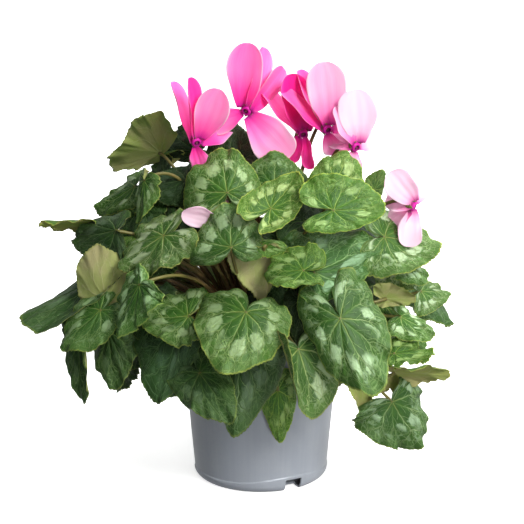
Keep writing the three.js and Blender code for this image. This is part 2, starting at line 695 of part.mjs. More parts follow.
function place(name, solid, material) {
  const mesh = new THREE.Mesh(toGeometry(solid), material);
  mesh.name = name;
  group.add(mesh);
}

const twoDigits = (number) => String(number).padStart(2, '0');

LEAVES.forEach((spec, i) => {
  spec.axes = leafAxes(spec.facing);
  spec.phase = RIPPLE_STEP * i;
  spec.stem = leafStem(spec);
});
FLOWERS.forEach((spec) => {
  spec.stem = flowerStem(spec);
});
settleStems([...FLOWERS, ...LEAVES].map((spec) => spec.stem));

const tuberRoom = tuberSolid(GAP);
const stalkRooms = FLOWERS.map((spec) => stemSolid(spec.stem, GAP).add(calyxSolid(spec, GAP)));
const petioleRooms = LEAVES.map((spec) => stemSolid(spec.stem, GAP));

place('pot', potSolid(), MATERIALS.pot);
place('potting_soil', soilSolid(), MATERIALS.soil);
place('tuber', tuberSolid(0), MATERIALS.tuber);

// Petals give way to the stems and to the flowers named before.
const corollas = [];
FLOWERS.forEach((spec, i) => {
  const corolla = clearOf(corollaSolid(spec), [...corollas, ...stalkRooms, ...petioleRooms]);
  corollas.push(corolla);
  place(`flower_${i + 1}_corolla`, corolla, MATERIALS.petal);
  const stalk = clearOf(stemSolid(spec.stem, 0), [tuberRoom]).add(calyxSolid(spec, 0));
  place(`flower_${i + 1}_stalk`, stalk, MATERIALS.stalk);
});

// Blades give way to the pot, stems and petals, and to the blades named before.
const bladeRooms = [potRoom(), ...stalkRooms, ...corollas];
LEAVES.forEach((spec, i) => {
  const otherPetioles = petioleRooms.filter((_, j) => j !== i);
  const blade = clearOf(bladeSolid(spec, 0), [...bladeRooms, ...otherPetioles]);
  const petiole = clearOf(stemSolid(spec.stem, 0), [tuberRoom]);
  bladeRooms.push(bladeSolid(spec, GAP));
  place(`leaf_${twoDigits(i + 1)}`, blade.add(petiole), MATERIALS.leaf);
});

export default group;
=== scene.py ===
"""Looks of the potted cyclamen: every CAD node is stood for by a finely modelled piece."""

import math
from itertools import combinations

import bmesh
import bpy
import numpy as np
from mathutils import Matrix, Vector, noise


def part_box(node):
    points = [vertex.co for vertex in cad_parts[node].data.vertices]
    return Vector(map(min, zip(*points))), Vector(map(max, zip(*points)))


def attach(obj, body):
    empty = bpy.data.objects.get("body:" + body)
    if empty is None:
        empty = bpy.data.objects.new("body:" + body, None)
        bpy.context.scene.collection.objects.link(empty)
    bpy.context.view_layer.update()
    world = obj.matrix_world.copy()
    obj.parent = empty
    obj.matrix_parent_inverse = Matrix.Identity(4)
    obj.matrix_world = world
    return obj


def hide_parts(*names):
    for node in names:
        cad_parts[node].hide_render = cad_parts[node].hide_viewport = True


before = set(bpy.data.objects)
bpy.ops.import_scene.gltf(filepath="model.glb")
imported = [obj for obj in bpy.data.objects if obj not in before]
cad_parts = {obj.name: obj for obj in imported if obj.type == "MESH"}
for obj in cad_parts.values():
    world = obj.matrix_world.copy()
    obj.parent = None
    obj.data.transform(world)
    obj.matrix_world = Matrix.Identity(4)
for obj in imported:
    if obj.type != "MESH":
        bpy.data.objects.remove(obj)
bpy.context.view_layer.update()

MM = 0.001
POT_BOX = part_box("pot")
RIM_RADIUS = POT_BOX[1][0] / MM
POT_HEIGHT = POT_BOX[1][2] / MM


# ---- Proportions shared with the CAD part, in millimetres ---------------------------------------

FOOT_RADIUS = 48.4
TAPER = 0.09
WALL = 1.5
CORNER = 6
RIM_DEPTH = 8
DRAIN_COUNT = 3
DRAIN_FIRST = -61
DRAIN_INNER = 38
SOIL_TOP = 92
SOIL_MOUND = 3
SOIL_CHAMFER = 12
TUBER_RADIUS = 28
TUBER_HALF_HEIGHT = 14
TUBER_MIDDLE = 88
PETIOLE_RADIUS = 1.4
STALK_RADIUS = 1.5
CROWN_SHARE = 0.17
CROWN_RADIUS = 22
CROWN_LIMIT = 24
STEM_GAP = 0.5
# how deep in the tuber a stem begins, and how stems that cross are pushed apart
STEM_SINK = 1
PUSH_ROUNDS = 40
PUSH_SHARE = 0.55
# how near and how far from the middle a stem has to clear the rim
RIM_ZONE = 50, 63
STEM_RISE = 0.5
PETIOLE_BEND = 0.3
STALK_BEND = 0.12
PETAL_FOOT = 3.6
CUP_DEPTH = 4.5
CALYX_LENGTH = 3.5


# ---- Looks --------------------------------------------------------------------------------------

LEAF_THICKNESS = 0.5
RIPPLE_STEP = 2.4
VEINS = 10
VEIN_SPACING = 2 * math.pi / VEINS
VEIN_SWEEP = 0.34
PETAL_THICKNESS = 0.4
# points of a piece that lie this near to each other, in metres, are one
WELD_REACH = 2e-6
# where the canopy is open at the front and the bundle of petioles shows
OPEN_PLACE = np.array([-40.0, -45.0, 168.0])
OPEN_REACH = 42
# no filling leaf is placed this low this near to the pot, which it would pass through
RIM_CLEAR_HEIGHT = 128
RIM_CLEAR_RADIUS = 79
FILL_TRIES = 220
GOLDEN_TURN = 2.399963
TOOTH_PITCH = 3.2
TOOTH_HEIGHT = 0.7
BLADE_SHARES = (0.0, 0.1, 0.24, 0.4, 0.55, 0.68, 0.8, 0.9, 0.965, 1.0)
LEDGE_HEIGHT = 7.2
LEDGE_RISE = 4.6
LEDGE_SPREAD = 34
LEDGE_STEP = 0.6
LEDGE_SOFTNESS = 0.16
POT_SIDES = 260
DRAIN_HEIGHT = 9.5
DRAIN_WIDTH = 13
DRAIN_OUTER = 56
SOIL_GAP = 0.35
PETAL_ROWS = 38
PETAL_COLUMNS = 21
SEPAL_ROWS = 9
SEPAL_COLUMNS = 7
SEPAL_THICKNESS = 0.22
# radius, and way along the mouth: an open throat with a dark hole and a ring where petals turn back
CUP_PROFILE = [(0.0, -CUP_DEPTH / 2), (2.4, -CUP_DEPTH / 2 + 0.2), (3.2, -CUP_DEPTH / 2 + 1.0),
               (3.5, -0.2), (3.6, 0.6), (3.3, 1.1), (2.8, 1.45), (2.3, 1.6), (1.8, 1.5),
               (1.5, 1.0), (1.4, 0.0), (1.1, -1.0), (0.0, -1.3)]
CALYX_PROFILE = [(0.0, -CALYX_LENGTH - 0.2), (1.6, -CALYX_LENGTH + 0.3), (2.6, -2.2),
                 (3.2, -1.0), (3.0, -0.2), (0.0, -0.15)]

WORLD_LOW = 0.11
# where the surrounding light begins along x, y and z, and how much it adds
WORLD_SIDES = (-0.5, 0.54), (-0.2, 0.50), (-0.1, 0.30)
FLOOR_GLOW = 0.66
WALL_GLOW = 0.40
CAMERA_PLACE = 0.001, -1.45, 0.563
CAMERA_DIP = 15.5
CAMERA_LENS = 142.4

# silver marking, darkness, and a tint over the green, per kind of leaf; the darkness is partly
# painted shade
TINTS = {
    "mid": (0.75, 0.0, (1.0, 1.0, 1.0)),
    "silver": (1.0, 0.0, (1.02, 1.05, 1.08)),
    # Partly the leaf's own darker green and partly painted shade, for leaves in the shade of the
    # canopy.
    "dark": (0.35, 0.78, (0.86, 0.95, 1.0)),
    # Painted shade: near black-green leaves that stand for the shade deep inside the canopy.
    "deep": (0.3, 1.12, (0.75, 0.85, 0.95)),
    # Painted sheen: the grey-blue tint of this kind stands in for light glancing off the leaf.
    "painted_sheen": (0.8, 0.2, (0.96, 0.98, 1.15)),
    # Painted light: this kind is lighter and greyer, for leaves at the right edge washed out by
    # bright light.
    "pale": (0.9, -0.15, (1.40, 1.30, 1.50)),
    "lime": (0.7, -0.15, (1.12, 1.12, 0.82)),
    "olive": (0.2, 0.1, (1.1, 1.05, 0.75)),
    "beige": (0.2, 0.0, (1.05, 1.0, 1.05)),
}


def leaf(place, facing, size, turns, wave, tint, kite=0.0):
    """Sizes are to the tip, left, right and base; turns are the bends left, right, tip, base."""
    return {"place": np.array(place, float), "facing": facing, "size": size,
            "turns": turns, "wave": wave, "tint": tint, "kite": kite}


def flower(base, mouth, petals):
    """The mouth is given as degrees round from the front, and degrees up."""
    return {"base": np.array(base, float), "mouth": mouth, "petals": petals}


def petal(*values):
    """Angles and lengths of one petal, in the order of the names here."""
    return dict(zip(("angle", "lean", "face", "length", "width", "channel", "bend", "twist",
                     "tone"), values))


LEAVES = [
    leaf((-10, -100, 153), (-8, 42, -20), (47, 41, 33, 17), (45, 35, 15, 30), 1.5, "mid"),
    leaf((54, -108, 151), (8, 32, 22), (60, 29, 36, 25), (78, 45, 10, 10), 3, "silver"),
    leaf((26, -98, 126), (18, 28, 10), (52, 30, 35, 10), (-115, 40, 20, 10), 1.2, "mid"),
    leaf((-14, -80, 120), (-5, 14, -3), (64, 22, 38, 12), (60, 60, 15, 10), 1.5, "dark", 0.06),
    leaf((12, -68, 86), (10, 0, 4), (42, 15, 16, 12), (40, 40, 10, 10), 1, "lime", 0.08),
    leaf((-42, -90, 106), (-22, 46, 48), (44, 24, 20, 17), (45, 40, 15, 10), 2.4, "dark"),
    leaf((-54, -72, 138), (-20, 20, -14), (62, 46, 18, 6), (45, 40, 10, 10), 1.5, "deep"),
    leaf((-108, -48, 123), (-30, 10, 10), (44, 22, 24, 8), (30, 30, 10, 10), 1.5, "dark"),
    leaf((-112, -62, 143), (-30, 38, -36), (42, 23, 20, 14), (30, 60, 10, 10), 1.5, "mid"),
    leaf((-112, -32, 160), (-35, 32, -38), (71, 22, 29, 12), (60, -70, -30, 10), 1.5, "dark", -0.2),
    leaf((-130, -45, 121), (-20, 5, 3), (55, 16, 18, 8), (40, -110, 10, 10), 1.5, "dark"),
    leaf((-83, -88, 169), (-50, 15, -26), (46, 19, 21, 8), (30, 30, 10, 10), 1.5, "silver"),
    leaf((-50, -80, 144), (-20, 48, -82), (37, 38, 20, 8), (50, 40, 10, 10), 2, "mid"),
    leaf((-109, -50, 147), (170, 20, 176), (43, 21, 22, 12), (-30, -30, -30, 10), 0.8, "beige",
         -0.16),
    leaf((-67, -66, 198), (-25, 42, -48), (42, 24, 22, 18), (40, 40, 25, 10), 2, "mid"),
    leaf((-101, -48, 197), (-40, 28, -72), (46, 20, 24, 6), (50, 40, 10, 10), 1.5, "dark"),
    leaf((-117, -20, 196), (180, 62, 90), (42, 16, 12, 8), (30, 30, 0, 10), 1, "olive"),
    leaf((-89, -20, 222), (-48, 30, -52), (42, 16, 14, 8), (40, 40, 10, 10), 1.5, "silver"),
    leaf((-81, -40, 231), (-48, 10, -8), (32, 19, 12, 6), (80, 30, 10, 10), 1, "silver"),
    leaf((-72, 8, 240), (165, 15, 68), (50, 9, 34, 16), (20, 15, -20, 10), 2.4, "olive", 0.26),
    leaf((-23, -55, 226), (-15, 35, -162), (40, 27, 38, 13), (60, 40, 10, 10), 2, "mid"),
    leaf((-20, -85, 195), (-10, 42, -172), (38, 24, 34, 9), (45, 45, 10, 20), 1.5, "silver"),
    leaf((4, -78, 193), (172, 10, 4), (41, 10, 27, 3), (20, 30, 0, 10), 0.8, "beige"),
    leaf((7, -68, 218), (5, 46, 138), (32, 23, 19, 21), (-55, -55, -40, -30), 1, "lime"),
    leaf((10, -42, 228), (0, 25, 180), (25, 31, 29, 5), (60, 60, 10, 10), 1, "silver"),
    leaf((51, -55, 229), (10, 35, 156), (33, 26, 22, 5), (40, 40, 10, 10), 1.5, "lime"),
    leaf((50, -78, 219), (5, 38, 92), (40, 17, 26, 18), (-25, -30, 15, 10), 1.2, "lime"),
    leaf((37, -85, 177), (10, 42, 113), (58, 22, 43, 14), (30, 40, 10, 10), 2, "painted_sheen"),
    leaf((29, -94, 181), (0, 50, -92), (31, 18, 18, 12), (-40, -40, 40, 10), 1.5, "lime"),
    leaf((86, -58, 195), (30, 34, 74), (45, 28, 30, 14), (40, 40, 10, 10), 2, "pale"),
    leaf((115, -25, 146), (38, 35, 78), (29, 17, 10, 6), (30, 30, 10, 10), 1, "pale"),
    leaf((99, -45, 133), (35, 30, 56), (35, 15, 13, 6), (40, 40, 10, 10), 1.5, "pale"),
    leaf((95, -52, 108), (20, 55, 80), (32, 12, 12, 6), (-30, -30, 0, 10), 2.5, "lime"),
    leaf((95, -50, 93), (165, 35, -98), (42, 16, 14, 8), (40, 40, 0, 10), 1.5, "olive"),
    leaf((93, -64, 76), (25, 8, 30), (46, 30, 36, 8), (30, 60, 10, 10), 3.2, "painted_sheen"),
    leaf((112, 30, 150), (75, 38, 10), (54, 38, 36, 18), (40, 40, 15, 15), 2, "dark"),
    leaf((92, 72, 118), (118, 30, -10), (56, 38, 38, 18), (40, 35, 15, 15), 2, "mid"),
    leaf((38, 98, 146), (158, 36, 12), (56, 38, 40, 18), (35, 45, 15, 15), 2, "silver"),
    leaf((-30, 100, 122), (190, 32, -12), (58, 40, 38, 18), (40, 40, 15, 15), 2, "mid"),
    leaf((-88, 66, 142), (228, 34, 10), (56, 38, 38, 18), (45, 35, 15, 15), 2, "dark"),
    leaf((-122, 18, 140), (268, 32, -8), (52, 36, 36, 16), (40, 40, 15, 15), 2, "mid"),
    leaf((62, 52, 205), (140, 52, -14), (48, 36, 34, 16), (35, 35, 15, 15), 2, "lime"),
    leaf((-40, 60, 212), (205, 50, 14), (50, 36, 36, 16), (35, 35, 15, 15), 2, "silver"),
]

SMALL_LEAVES = [
    leaf((-94, -52, 186), (-30, 25, -75), (24, 9, 9, 6), (30, 30, 10, 10), 0.8, "olive"),
    leaf((-53, -25, 228), (-20, 40, -75), (34, 20, 18, 8), (50, 50, 10, 10), 1.5, "deep"),
    leaf((-47, -5, 245), (-35, 10, -82), (36, 22, 10, 8), (40, 40, 0, 10), 1.5, "deep"),
    leaf((1, -78, 195), (0, 60, 75), (23, 8, 9, 5), (20, 20, 0, 10), 0.8, "lime"),
    leaf((101, -42, 172), (45, 32, 50), (27, 13, 13, 6), (40, 40, 10, 10), 1, "pale"),
    leaf((88, -50, 148), (160, 10, -95), (24, 14, 6, 6), (30, 30, 0, 10), 0.8, "olive"),
    leaf((72, -60, 90), (165, 10, 0), (24, 10, 10, 6), (30, 30, 0, 0), 0.8, "olive"),
    leaf((-21, -12, 236), (0, 15, 180), (33, 25, 20, 8), (40, 40, 0, 0), 1, "deep"),
    leaf((27, -75, 154), (0, 20, 0), (30, 12, 12, 6), (40, 40, 0, 0), 1, "deep"),
    leaf((80, -30, 222), (30, 25, 140), (19, 8, 8, 5), (20, 20, 0, 0), 1, "olive"),
    leaf((-68, -8, 222), (-30, 25, -20), (34, 24, 24, 14), (40, 40, 10, 10), 1.8, "deep"),
    leaf((-85, -12, 206), (-45, 25, -30), (30, 22, 22, 12), (40, 40, 10, 10), 1.8, "dark"),
    leaf((-99, -8, 212), (-60, 20, -50), (26, 16, 16, 10), (40, 60, 10, 10), 1.5, "mid"),
    leaf((94, -22, 170), (30, 30, 40), (32, 24, 24, 12), (40, 40, 10, 10), 1.8, "pale"),
    leaf((86, -25, 140), (35, 25, 30), (30, 22, 22, 12), (40, 40, 10, 10), 1.8, "lime"),
    leaf((103, -15, 114), (45, 20, 50), (28, 20, 20, 12), (40, 40, 10, 10), 1.8, "mid"),
    leaf((-79, -15, 174), (-40, 20, -40), (30, 24, 24, 12), (40, 40, 10, 10), 1.8, "dark"),
    leaf((-70, 42, 196), (238, 48, 0), (40, 28, 28, 14), (40, 40, 15, 10), 1.8, "mid"),
    leaf((26, 64, 194), (165, 48, 5), (40, 28, 28, 14), (40, 40, 15, 10), 1.8, "dark"),
    leaf((84, 20, 186), (100, 45, 0), (38, 26, 26, 12), (40, 40, 15, 10), 1.8, "silver"),
    leaf((16, 30, 219), (160, 60, 10), (36, 27, 27, 13), (40, 35, 15, 10), 1.8, "mid"),
    leaf((-20, 27, 214), (200, 58, -20), (38, 28, 28, 13), (35, 40, 15, 10), 1.8, "silver"),
    leaf((50, 20, 207), (125, 56, 20), (34, 25, 25, 12), (40, 35, 15, 10), 1.8, "dark"),
]

FLOWERS = [
    flower((-45, -29, 256), (20, -25), [
        petal(-14, -14, 60, 46, 19, 40, 10, 0, 0.56),
        petal(-2, 12, 55, 46, 20, 45, 5, 10, 0.76),
        petal(20, 18, 12, 41, 25, 35, 10, -10, 0.36),
        petal(165, 10, 10, 18, 14, 20, 20, 0, 0.55),
        petal(60, -45, 0, 36, 20, 30, 10, 0, 0.5),
    ]),
    flower((-10, -17, 276), (-25, -15), [
        petal(5, 12, -10, 48, 27, 35, 10, 10, 0.46),
        petal(20, -15, 45, 44, 20, 40, 10, 0, 0.5),
        petal(-112, -5, 15, 26, 18, 30, 15, 0, 0.42),
        petal(134, 22, -5, 42, 30, 20, 25, 0, 0.32),
        petal(42, -20, 30, 40, 18, 30, 10, 0, 0.5),
    ]),
    flower((30, -9, 258), (10, -30), [
        petal(-14, 12, 20, 43, 26, 45, 5, 10, 0.86),
        petal(0, -20, -20, 41, 24, 40, 5, 0, 0.8),
        petal(-38, 0, 65, 42, 22, 30, 5, 0, 0.6),
        petal(172, 10, 40, 24, 14, 40, 5, 0, 0.7),
        petal(-155, -15, 20, 22, 16, 20, 5, 0, 0.75),
    ]),
    flower((47, -18, 263), (25, -20), [
        petal(-7, 14, 0, 47, 29, 25, 15, -5, 0.17),
        petal(-24, -12, 55, 44, 20, 40, 5, 0, 0.6),
        petal(-42, 5, 60, 44, 18, 30, 5, 0, 0.55),
        petal(70, -40, 20, 34, 20, 30, 5, 0, 0.3),
        petal(150, -15, 20, 20, 18, 30, 10, 0, 0.3),
    ]),
    flower((67, -22, 251), (35, -20), [
        petal(-4, 8, 5, 39, 28, 25, 10, 0, -0.12),
        petal(-24, 5, 40, 30, 18, 30, 10, 0, 0.2),
        petal(-168, 15, 0, 14, 14, 20, 10, 0, 0.05),
        petal(60, -64, 20, 28, 18, 30, 5, 0, 0.1),
        petal(-60, -50, 20, 26, 18, 30, 5, 0, 0.15),
    ]),
    flower((106, -54, 216), (70, -20), [
        petal(-38, 30, 0, 31, 22, 30, 30, 0, -0.1),
        petal(187, 20, 0, 27, 18, 30, 20, 0, -0.06),
        petal(-80, -40, 20, 24, 16, 30, 10, 0, 0.1),
        petal(-130, -30, 20, 22, 16, 30, 10, 0, 0.1),
        petal(20, -50, 20, 20, 16, 30, 10, 0, 0.1),
    ]),
    flower((-22, -60, 203), (-60, -20), [
        petal(-72, 5, -20, 32, 18, 30, -10, 0, -0.12),
        petal(-100, -30, 20, 26, 16, 30, 10, 0, 0.2),
        petal(170, -20, 0, 22, 14, 30, 10, 0, 0.2),
        petal(60, -40, 0, 20, 14, 30, 10, 0, 0.2),
        petal(0, -50, 0, 20, 14, 30, 10, 0, 0.2),
    ]),
]


# ---- Shader building ----------------------------------------------------------------------------

class Value:
    """A socket of a node tree, which can take part in sums."""

    def __init__(self, shader, socket):
        self.shader, self.socket = shader, socket


for sign, operation in (("add", "ADD"), ("sub", "SUBTRACT"), ("mul", "MULTIPLY"),
                        ("truediv", "DIVIDE")):
    setattr(Value, f"__{sign}__", lambda a, b, kind=operation: a.shader.math(kind, a, b))
    setattr(Value, f"__r{sign}__", lambda a, b, kind=operation: a.shader.math(kind, b, a))


class Shader:
    """The nodes of a material or a world, with short names for those that patterns are made of."""

    def __init__(self, name, family="materials"):
        self.owner = getattr(bpy.data, family).new(name)
        self.owner.use_nodes = True
        self.tree = self.owner.node_tree
        self.tree.nodes.clear()

    def node(self, kind, inputs=None, **settings):
        """A node with its settings, and values or links for the inputs that are named."""
        made = self.tree.nodes.new(kind)
        for key, value in settings.items():
            setattr(made, key, value)
        for key, value in (inputs or {}).items():
            socket = made.inputs[key]
            if isinstance(value, Value):
                self.tree.links.new(value.socket, socket)
            elif socket.type == "RGBA":
                socket.default_value = (*value, 1.0)
            else:
                socket.default_value = value
        return made

    def value(self, output, kind, inputs=None, **settings):
        """One output of a new node."""
        return Value(self, self.node(kind, inputs, **settings).outputs[output])

    def math(self, operation, *values):
        return self.value(0, "ShaderNodeMath", dict(enumerate(values)), operation=operation)

    def step(self, value, low, high):
        """0 at low, 1 at high, smooth between; low may be the greater."""
        return self.value("Result", "ShaderNodeMapRange",
                          {"Value": value, "From Min": low, "From Max": high},
                          interpolation_type="SMOOTHSTEP")

    def mix(self, share, a, b, blend="MIX"):
        return self.value(2, "ShaderNodeMix", {"Factor": share, 6: a, 7: b},
                          data_type="RGBA", blend_type=blend)

    def join(self, x, y, z):
        return self.value(0, "ShaderNodeCombineXYZ", {0: x, 1: y, 2: z})

    def parts(self, vector):
        made = self.node("ShaderNodeSeparateXYZ", {0: vector})
        return [Value(self, socket) for socket in made.outputs]

    def paint(self, colour, *layers):
        """A colour under layers of another, each given as (share, its 0 to 255 values)."""
        for share, values in layers:
            colour = self.mix(share, colour, rgb(*values))
        return colour

    def times(self, colour, other):
        return self.mix(1.0, colour, other, "MULTIPLY")

    def noise(self, vector, scale, detail=2.0, rough=0.5, distortion=0.0):
        return self.value("Fac", "ShaderNodeTexNoise",
                          {"Vector": vector, "Scale": scale, "Detail": detail,
                           "Roughness": rough, "Distortion": distortion})

    def cells(self, vector, scale, feature="DISTANCE_TO_EDGE"):
        return self.value("Distance", "ShaderNodeTexVoronoi",
                          {"Vector": vector, "Scale": scale}, feature=feature)

    def uv(self, name):
        return self.value(0, "ShaderNodeUVMap", uv_map=name)

    def attribute(self, name, output="Vector"):
        return self.value(output, "ShaderNodeAttribute", attribute_name=name)

    def place(self, output="Object"):
        return self.value(output, "ShaderNodeTexCoord")

    def bump(self, height, strength, distance):
        return self.value(0, "ShaderNodeBump",
                          {"Height": height, "Strength": strength, "Distance": distance})

    def end(self, surface, kind="ShaderNodeOutputMaterial"):
        self.node(kind, {"Surface": surface})
        return self.owner

    def finish(self, colour, rough, normal, see_through=0.0, glow=None, **sockets):
        """Ends the material: a surface, of which a share lets light through from behind."""
        inputs = {name.replace("_", " "): value for name, value in sockets.items()}
        inputs.update({"Base Color": colour, "Roughness": rough, "Normal": normal})
        surface = self.value(0, "ShaderNodeBsdfPrincipled", inputs)
        if see_through > 0:
            thin = self.value(0, "ShaderNodeBsdfTranslucent", {"Color": glow})
            surface = self.value(0, "ShaderNodeMixShader", {0: see_through, 1: surface, 2: thin})
        return self.end(surface)


def rgb(r, g, b):
    """Linear colour from the usual 0 to 255 values."""
    def one(value):
        value /= 255
        return value / 12.92 if value <= 0.04045 else ((value + 0.055) / 1.055) ** 2.4
    return (one(r), one(g), one(b))


def leaf_pattern(s):
    """What the two faces of a blade share: polar place, noises and the net of veins."""
    u, f, _ = s.parts(s.uv("blade"))
    theta = (u - 0.5) * (2 * math.pi)
    seed, silver, dark = s.parts(s.attribute("leaf"))
    x = f * s.math("SINE", theta)
    y = f * s.math("COSINE", theta)
    place = s.join(x, y, seed)
    coarse = s.noise(place, 2.3, 1.0)
    fine = s.noise(place, 11.0, 3.0, 0.6)
    # Veins sweep towards the tip and wander a little.
    wander = (s.noise(place, 2.6, 1.0) - 0.5) * 0.62 * f
    jitter = (s.noise(place, 9.0, 2.0, 0.6) - 0.5) * 0.12
    bent = theta + (wander + jitter) + s.math("SINE", theta) * f * f * VEIN_SWEEP
    phi = s.math("PINGPONG", bent, VEIN_SPACING / 2)
    # Each main vein forks part of the way out, and the arms meet their neighbours near the margin.
    fork = 0.3 + coarse * 0.44
    opening = s.math("MAXIMUM", f - fork, 0.0) * 0.8
    opening = s.math("MINIMUM", opening, VEIN_SPACING / 2)
    arm = f * s.math("ABSOLUTE", phi - opening)
    width = 0.0145 - f * 0.008
    main = 1.0 - s.step(arm / width, 0.45, 1.35)
    # Every other main vein is faint near the petiole.
    faint = s.step(s.math("COSINE", bent * (VEINS / 2)), 0.2, -0.2) * s.step(f, 0.55, 0.25) * 0.8
    main = main * (1.0 - faint)
    stem = 1.0 - s.step(f * phi / width, 0.3, 1.0)
    stem = stem * s.step(f - fork, 0.3, 0.02) * (1.0 - faint)
    # Side veins leave the main ones at a slant, by turns on the left and on the right.
    hand = s.math("GREATER_THAN", s.math("SINE", bent * VEINS), 0.0)
    slant = f + (fine - 0.5) * 0.05 - f * phi * 1.45
    rank = slant / 0.19 + hand * 0.5
    slant = s.math("PINGPONG", rank, 0.5) * 0.19
    side = 1.0 - s.step(slant, 0.003, 0.011)
    side = side * s.step(f, 0.16, 0.3) * s.step(f, 0.99, 0.9)
    loops = s.cells(s.join(bent * 2.2, f * 5.0, seed), 1.4)
    loops = (1.0 - s.step(loops, 0.012, 0.045)) * s.step(f, 0.4, 0.65)
    side = s.math("MAXIMUM", side, loops * 0.6)
    net = s.cells(s.join(x, y, seed * 3.0), 6.5)
    net = (1.0 - s.step(net, 0.012, 0.045)) * s.step(f, 0.25, 0.6)
    return {"f": f, "phi": phi, "silver": silver, "dark": dark, "place": place, "coarse": coarse,
            "fine": fine, "main": s.math("MAXIMUM", main, stem), "side": side, "net": net,
            "arm": arm}


def leaf_upper():
    s = Shader("leaf_upper")
    p = leaf_pattern(s)
    f, place, main, side, net = (p[key] for key in ("f", "place", "main", "side", "net"))
    wobble = p["fine"] - 0.5
    slow = p["coarse"] - 0.5
    # A deep green middle and a greyer outer zone.
    zone = s.step(f + slow * 0.45 + wobble * 0.2, 0.45, 0.85)
    colour = s.mix(zone, rgb(40, 80, 18), rgb(66, 104, 38))
    mottle = s.step(s.noise(place, 6.0, 2.0, 0.5), 0.38, 0.70)
    # Fresh green runs along the main veins.
    halo = s.step(p["arm"], 0.07, 0.0) * s.step(f, 0.95, 0.3)
    # Silver spots lie between the veins, in a ring, and break up at their outer edge.
    between = s.step(p["phi"] + wobble * 0.16, 0.075, 0.135)
    reach = f + (wobble * 0.2 + slow * 0.25)
    ring = s.step(reach, 0.44, 0.5) * s.step(reach, 0.76, 0.7)
    gate = s.step(s.noise(place, 1.9, 0.0), 0.40, 0.52)
    spots = between * ring * gate * p["silver"]
    grains = s.step(s.noise(place, 12.0, 1.0, 0.5), 0.54, 0.6)
    speckle = s.step(reach, 0.62, 0.7) * s.step(reach, 0.88, 0.8) * grains * p["silver"] * 0.42
    colour = s.paint(colour, (mottle * (0.12 + zone * 0.22), (96, 130, 62)),
                     (halo * 0.45, (80, 124, 42)),
                     (s.math("MAXIMUM", spots, speckle) * 0.88, (170, 198, 148)),
                     (net * 0.4, (124, 156, 86)), (side * 0.66, (150, 182, 110)))
    vein = s.mix(s.step(f, 0.0, 0.35), rgb(140, 162, 70), rgb(158, 184, 116))
    colour = s.mix(main * 0.74, colour, vein)
    # Painted shade darkens the blade where it dips to its petiole; the margin is pale.
    colour = s.paint(colour, (s.step(f, 0.2, 0.0) * 0.35, (36, 58, 20)),
                     (s.step(f + wobble * 0.02, 0.966, 0.986) * 0.85, (150, 168, 78)))
    # Painted shade: the darkness of the leaf's kind darkens the whole blade, for leaves in the
    # canopy's shade.
    shade = s.math("MAXIMUM", 1.0 - p["dark"] * 0.55, 0.2)
    colour = s.times(s.times(colour, s.attribute("tint", "Color")), s.join(shade, shade, shade))
    relief = s.noise(place, 9.0, 3.0, 0.55) * 0.9 - (main * 0.8 + side * 0.55) - net * 0.22
    return s.finish(colour, 0.44 + p["fine"] * 0.16, s.bump(relief, 0.9, 0.0014), 0.16,
                    s.times(colour, (0.9, 1.15, 0.35)), Specular_IOR_Level=0.34)


def leaf_under():
    s = Shader("leaf_under")
    p = leaf_pattern(s)
    place, main, side = p["place"], p["main"], p["side"]
    blush = s.step(s.noise(place, 1.6, 2.0), 0.38, 0.66)
    margin = s.step(p["f"], 0.965, 0.982)
    # Partly the pale underside's own colour and partly painted light: these colours are raised to
    # look lit from behind.
    colour = s.paint(rgb(172, 184, 104), (blush, (184, 176, 126)),
                     (p["fine"] * 0.35, (198, 204, 148)), (p["net"] * 0.12, (146, 138, 104)),
                     (side * 0.25, (186, 186, 142)), (main * 0.55, (200, 196, 152)),
                     (margin * 0.8, (158, 164, 92)))
    colour = s.mix(0.6, colour, s.times(colour, s.attribute("tint", "Color")))
    relief = s.noise(place, 12.0, 3.0) * 0.5 + (main + side * 0.5)
    return s.finish(colour, 0.6, s.bump(relief, 0.6, 0.0009), 0.34,
                    s.times(colour, (0.75, 1.0, 0.35)), Specular_IOR_Level=0.3)


def stem_material():
    """Petioles and stalks: red-brown from the crown, and yellow-green towards the blade."""
    s = Shader("stem")
    around, along, _ = s.parts(s.uv("blade"))
    seed, _, green = s.parts(s.attribute("leaf"))
    place = s.place()
    streaks = s.noise(s.join(around * 9.0, along * 1.5, seed), 2.0, 2.0)
    blotch = s.noise(place, 90.0, 2.0)
    low = s.mix(streaks, rgb(112, 78, 54), rgb(146, 120, 76))
    high = s.mix(streaks, rgb(86, 84, 40), rgb(112, 108, 54))
    climb = s.step(along + (blotch - 0.5) * 0.5 + green * 0.3, 0.35, 0.95)
    colour = s.mix(climb, low, high)
    dots = s.step(s.noise(place, 900.0, 2.0), 0.58, 0.70)
    colour = s.paint(colour, (dots * 0.35, (80, 44, 38)))
    return s.finish(colour, 0.48, s.bump(streaks, 0.25, 0.0003), Specular_IOR_Level=0.4)


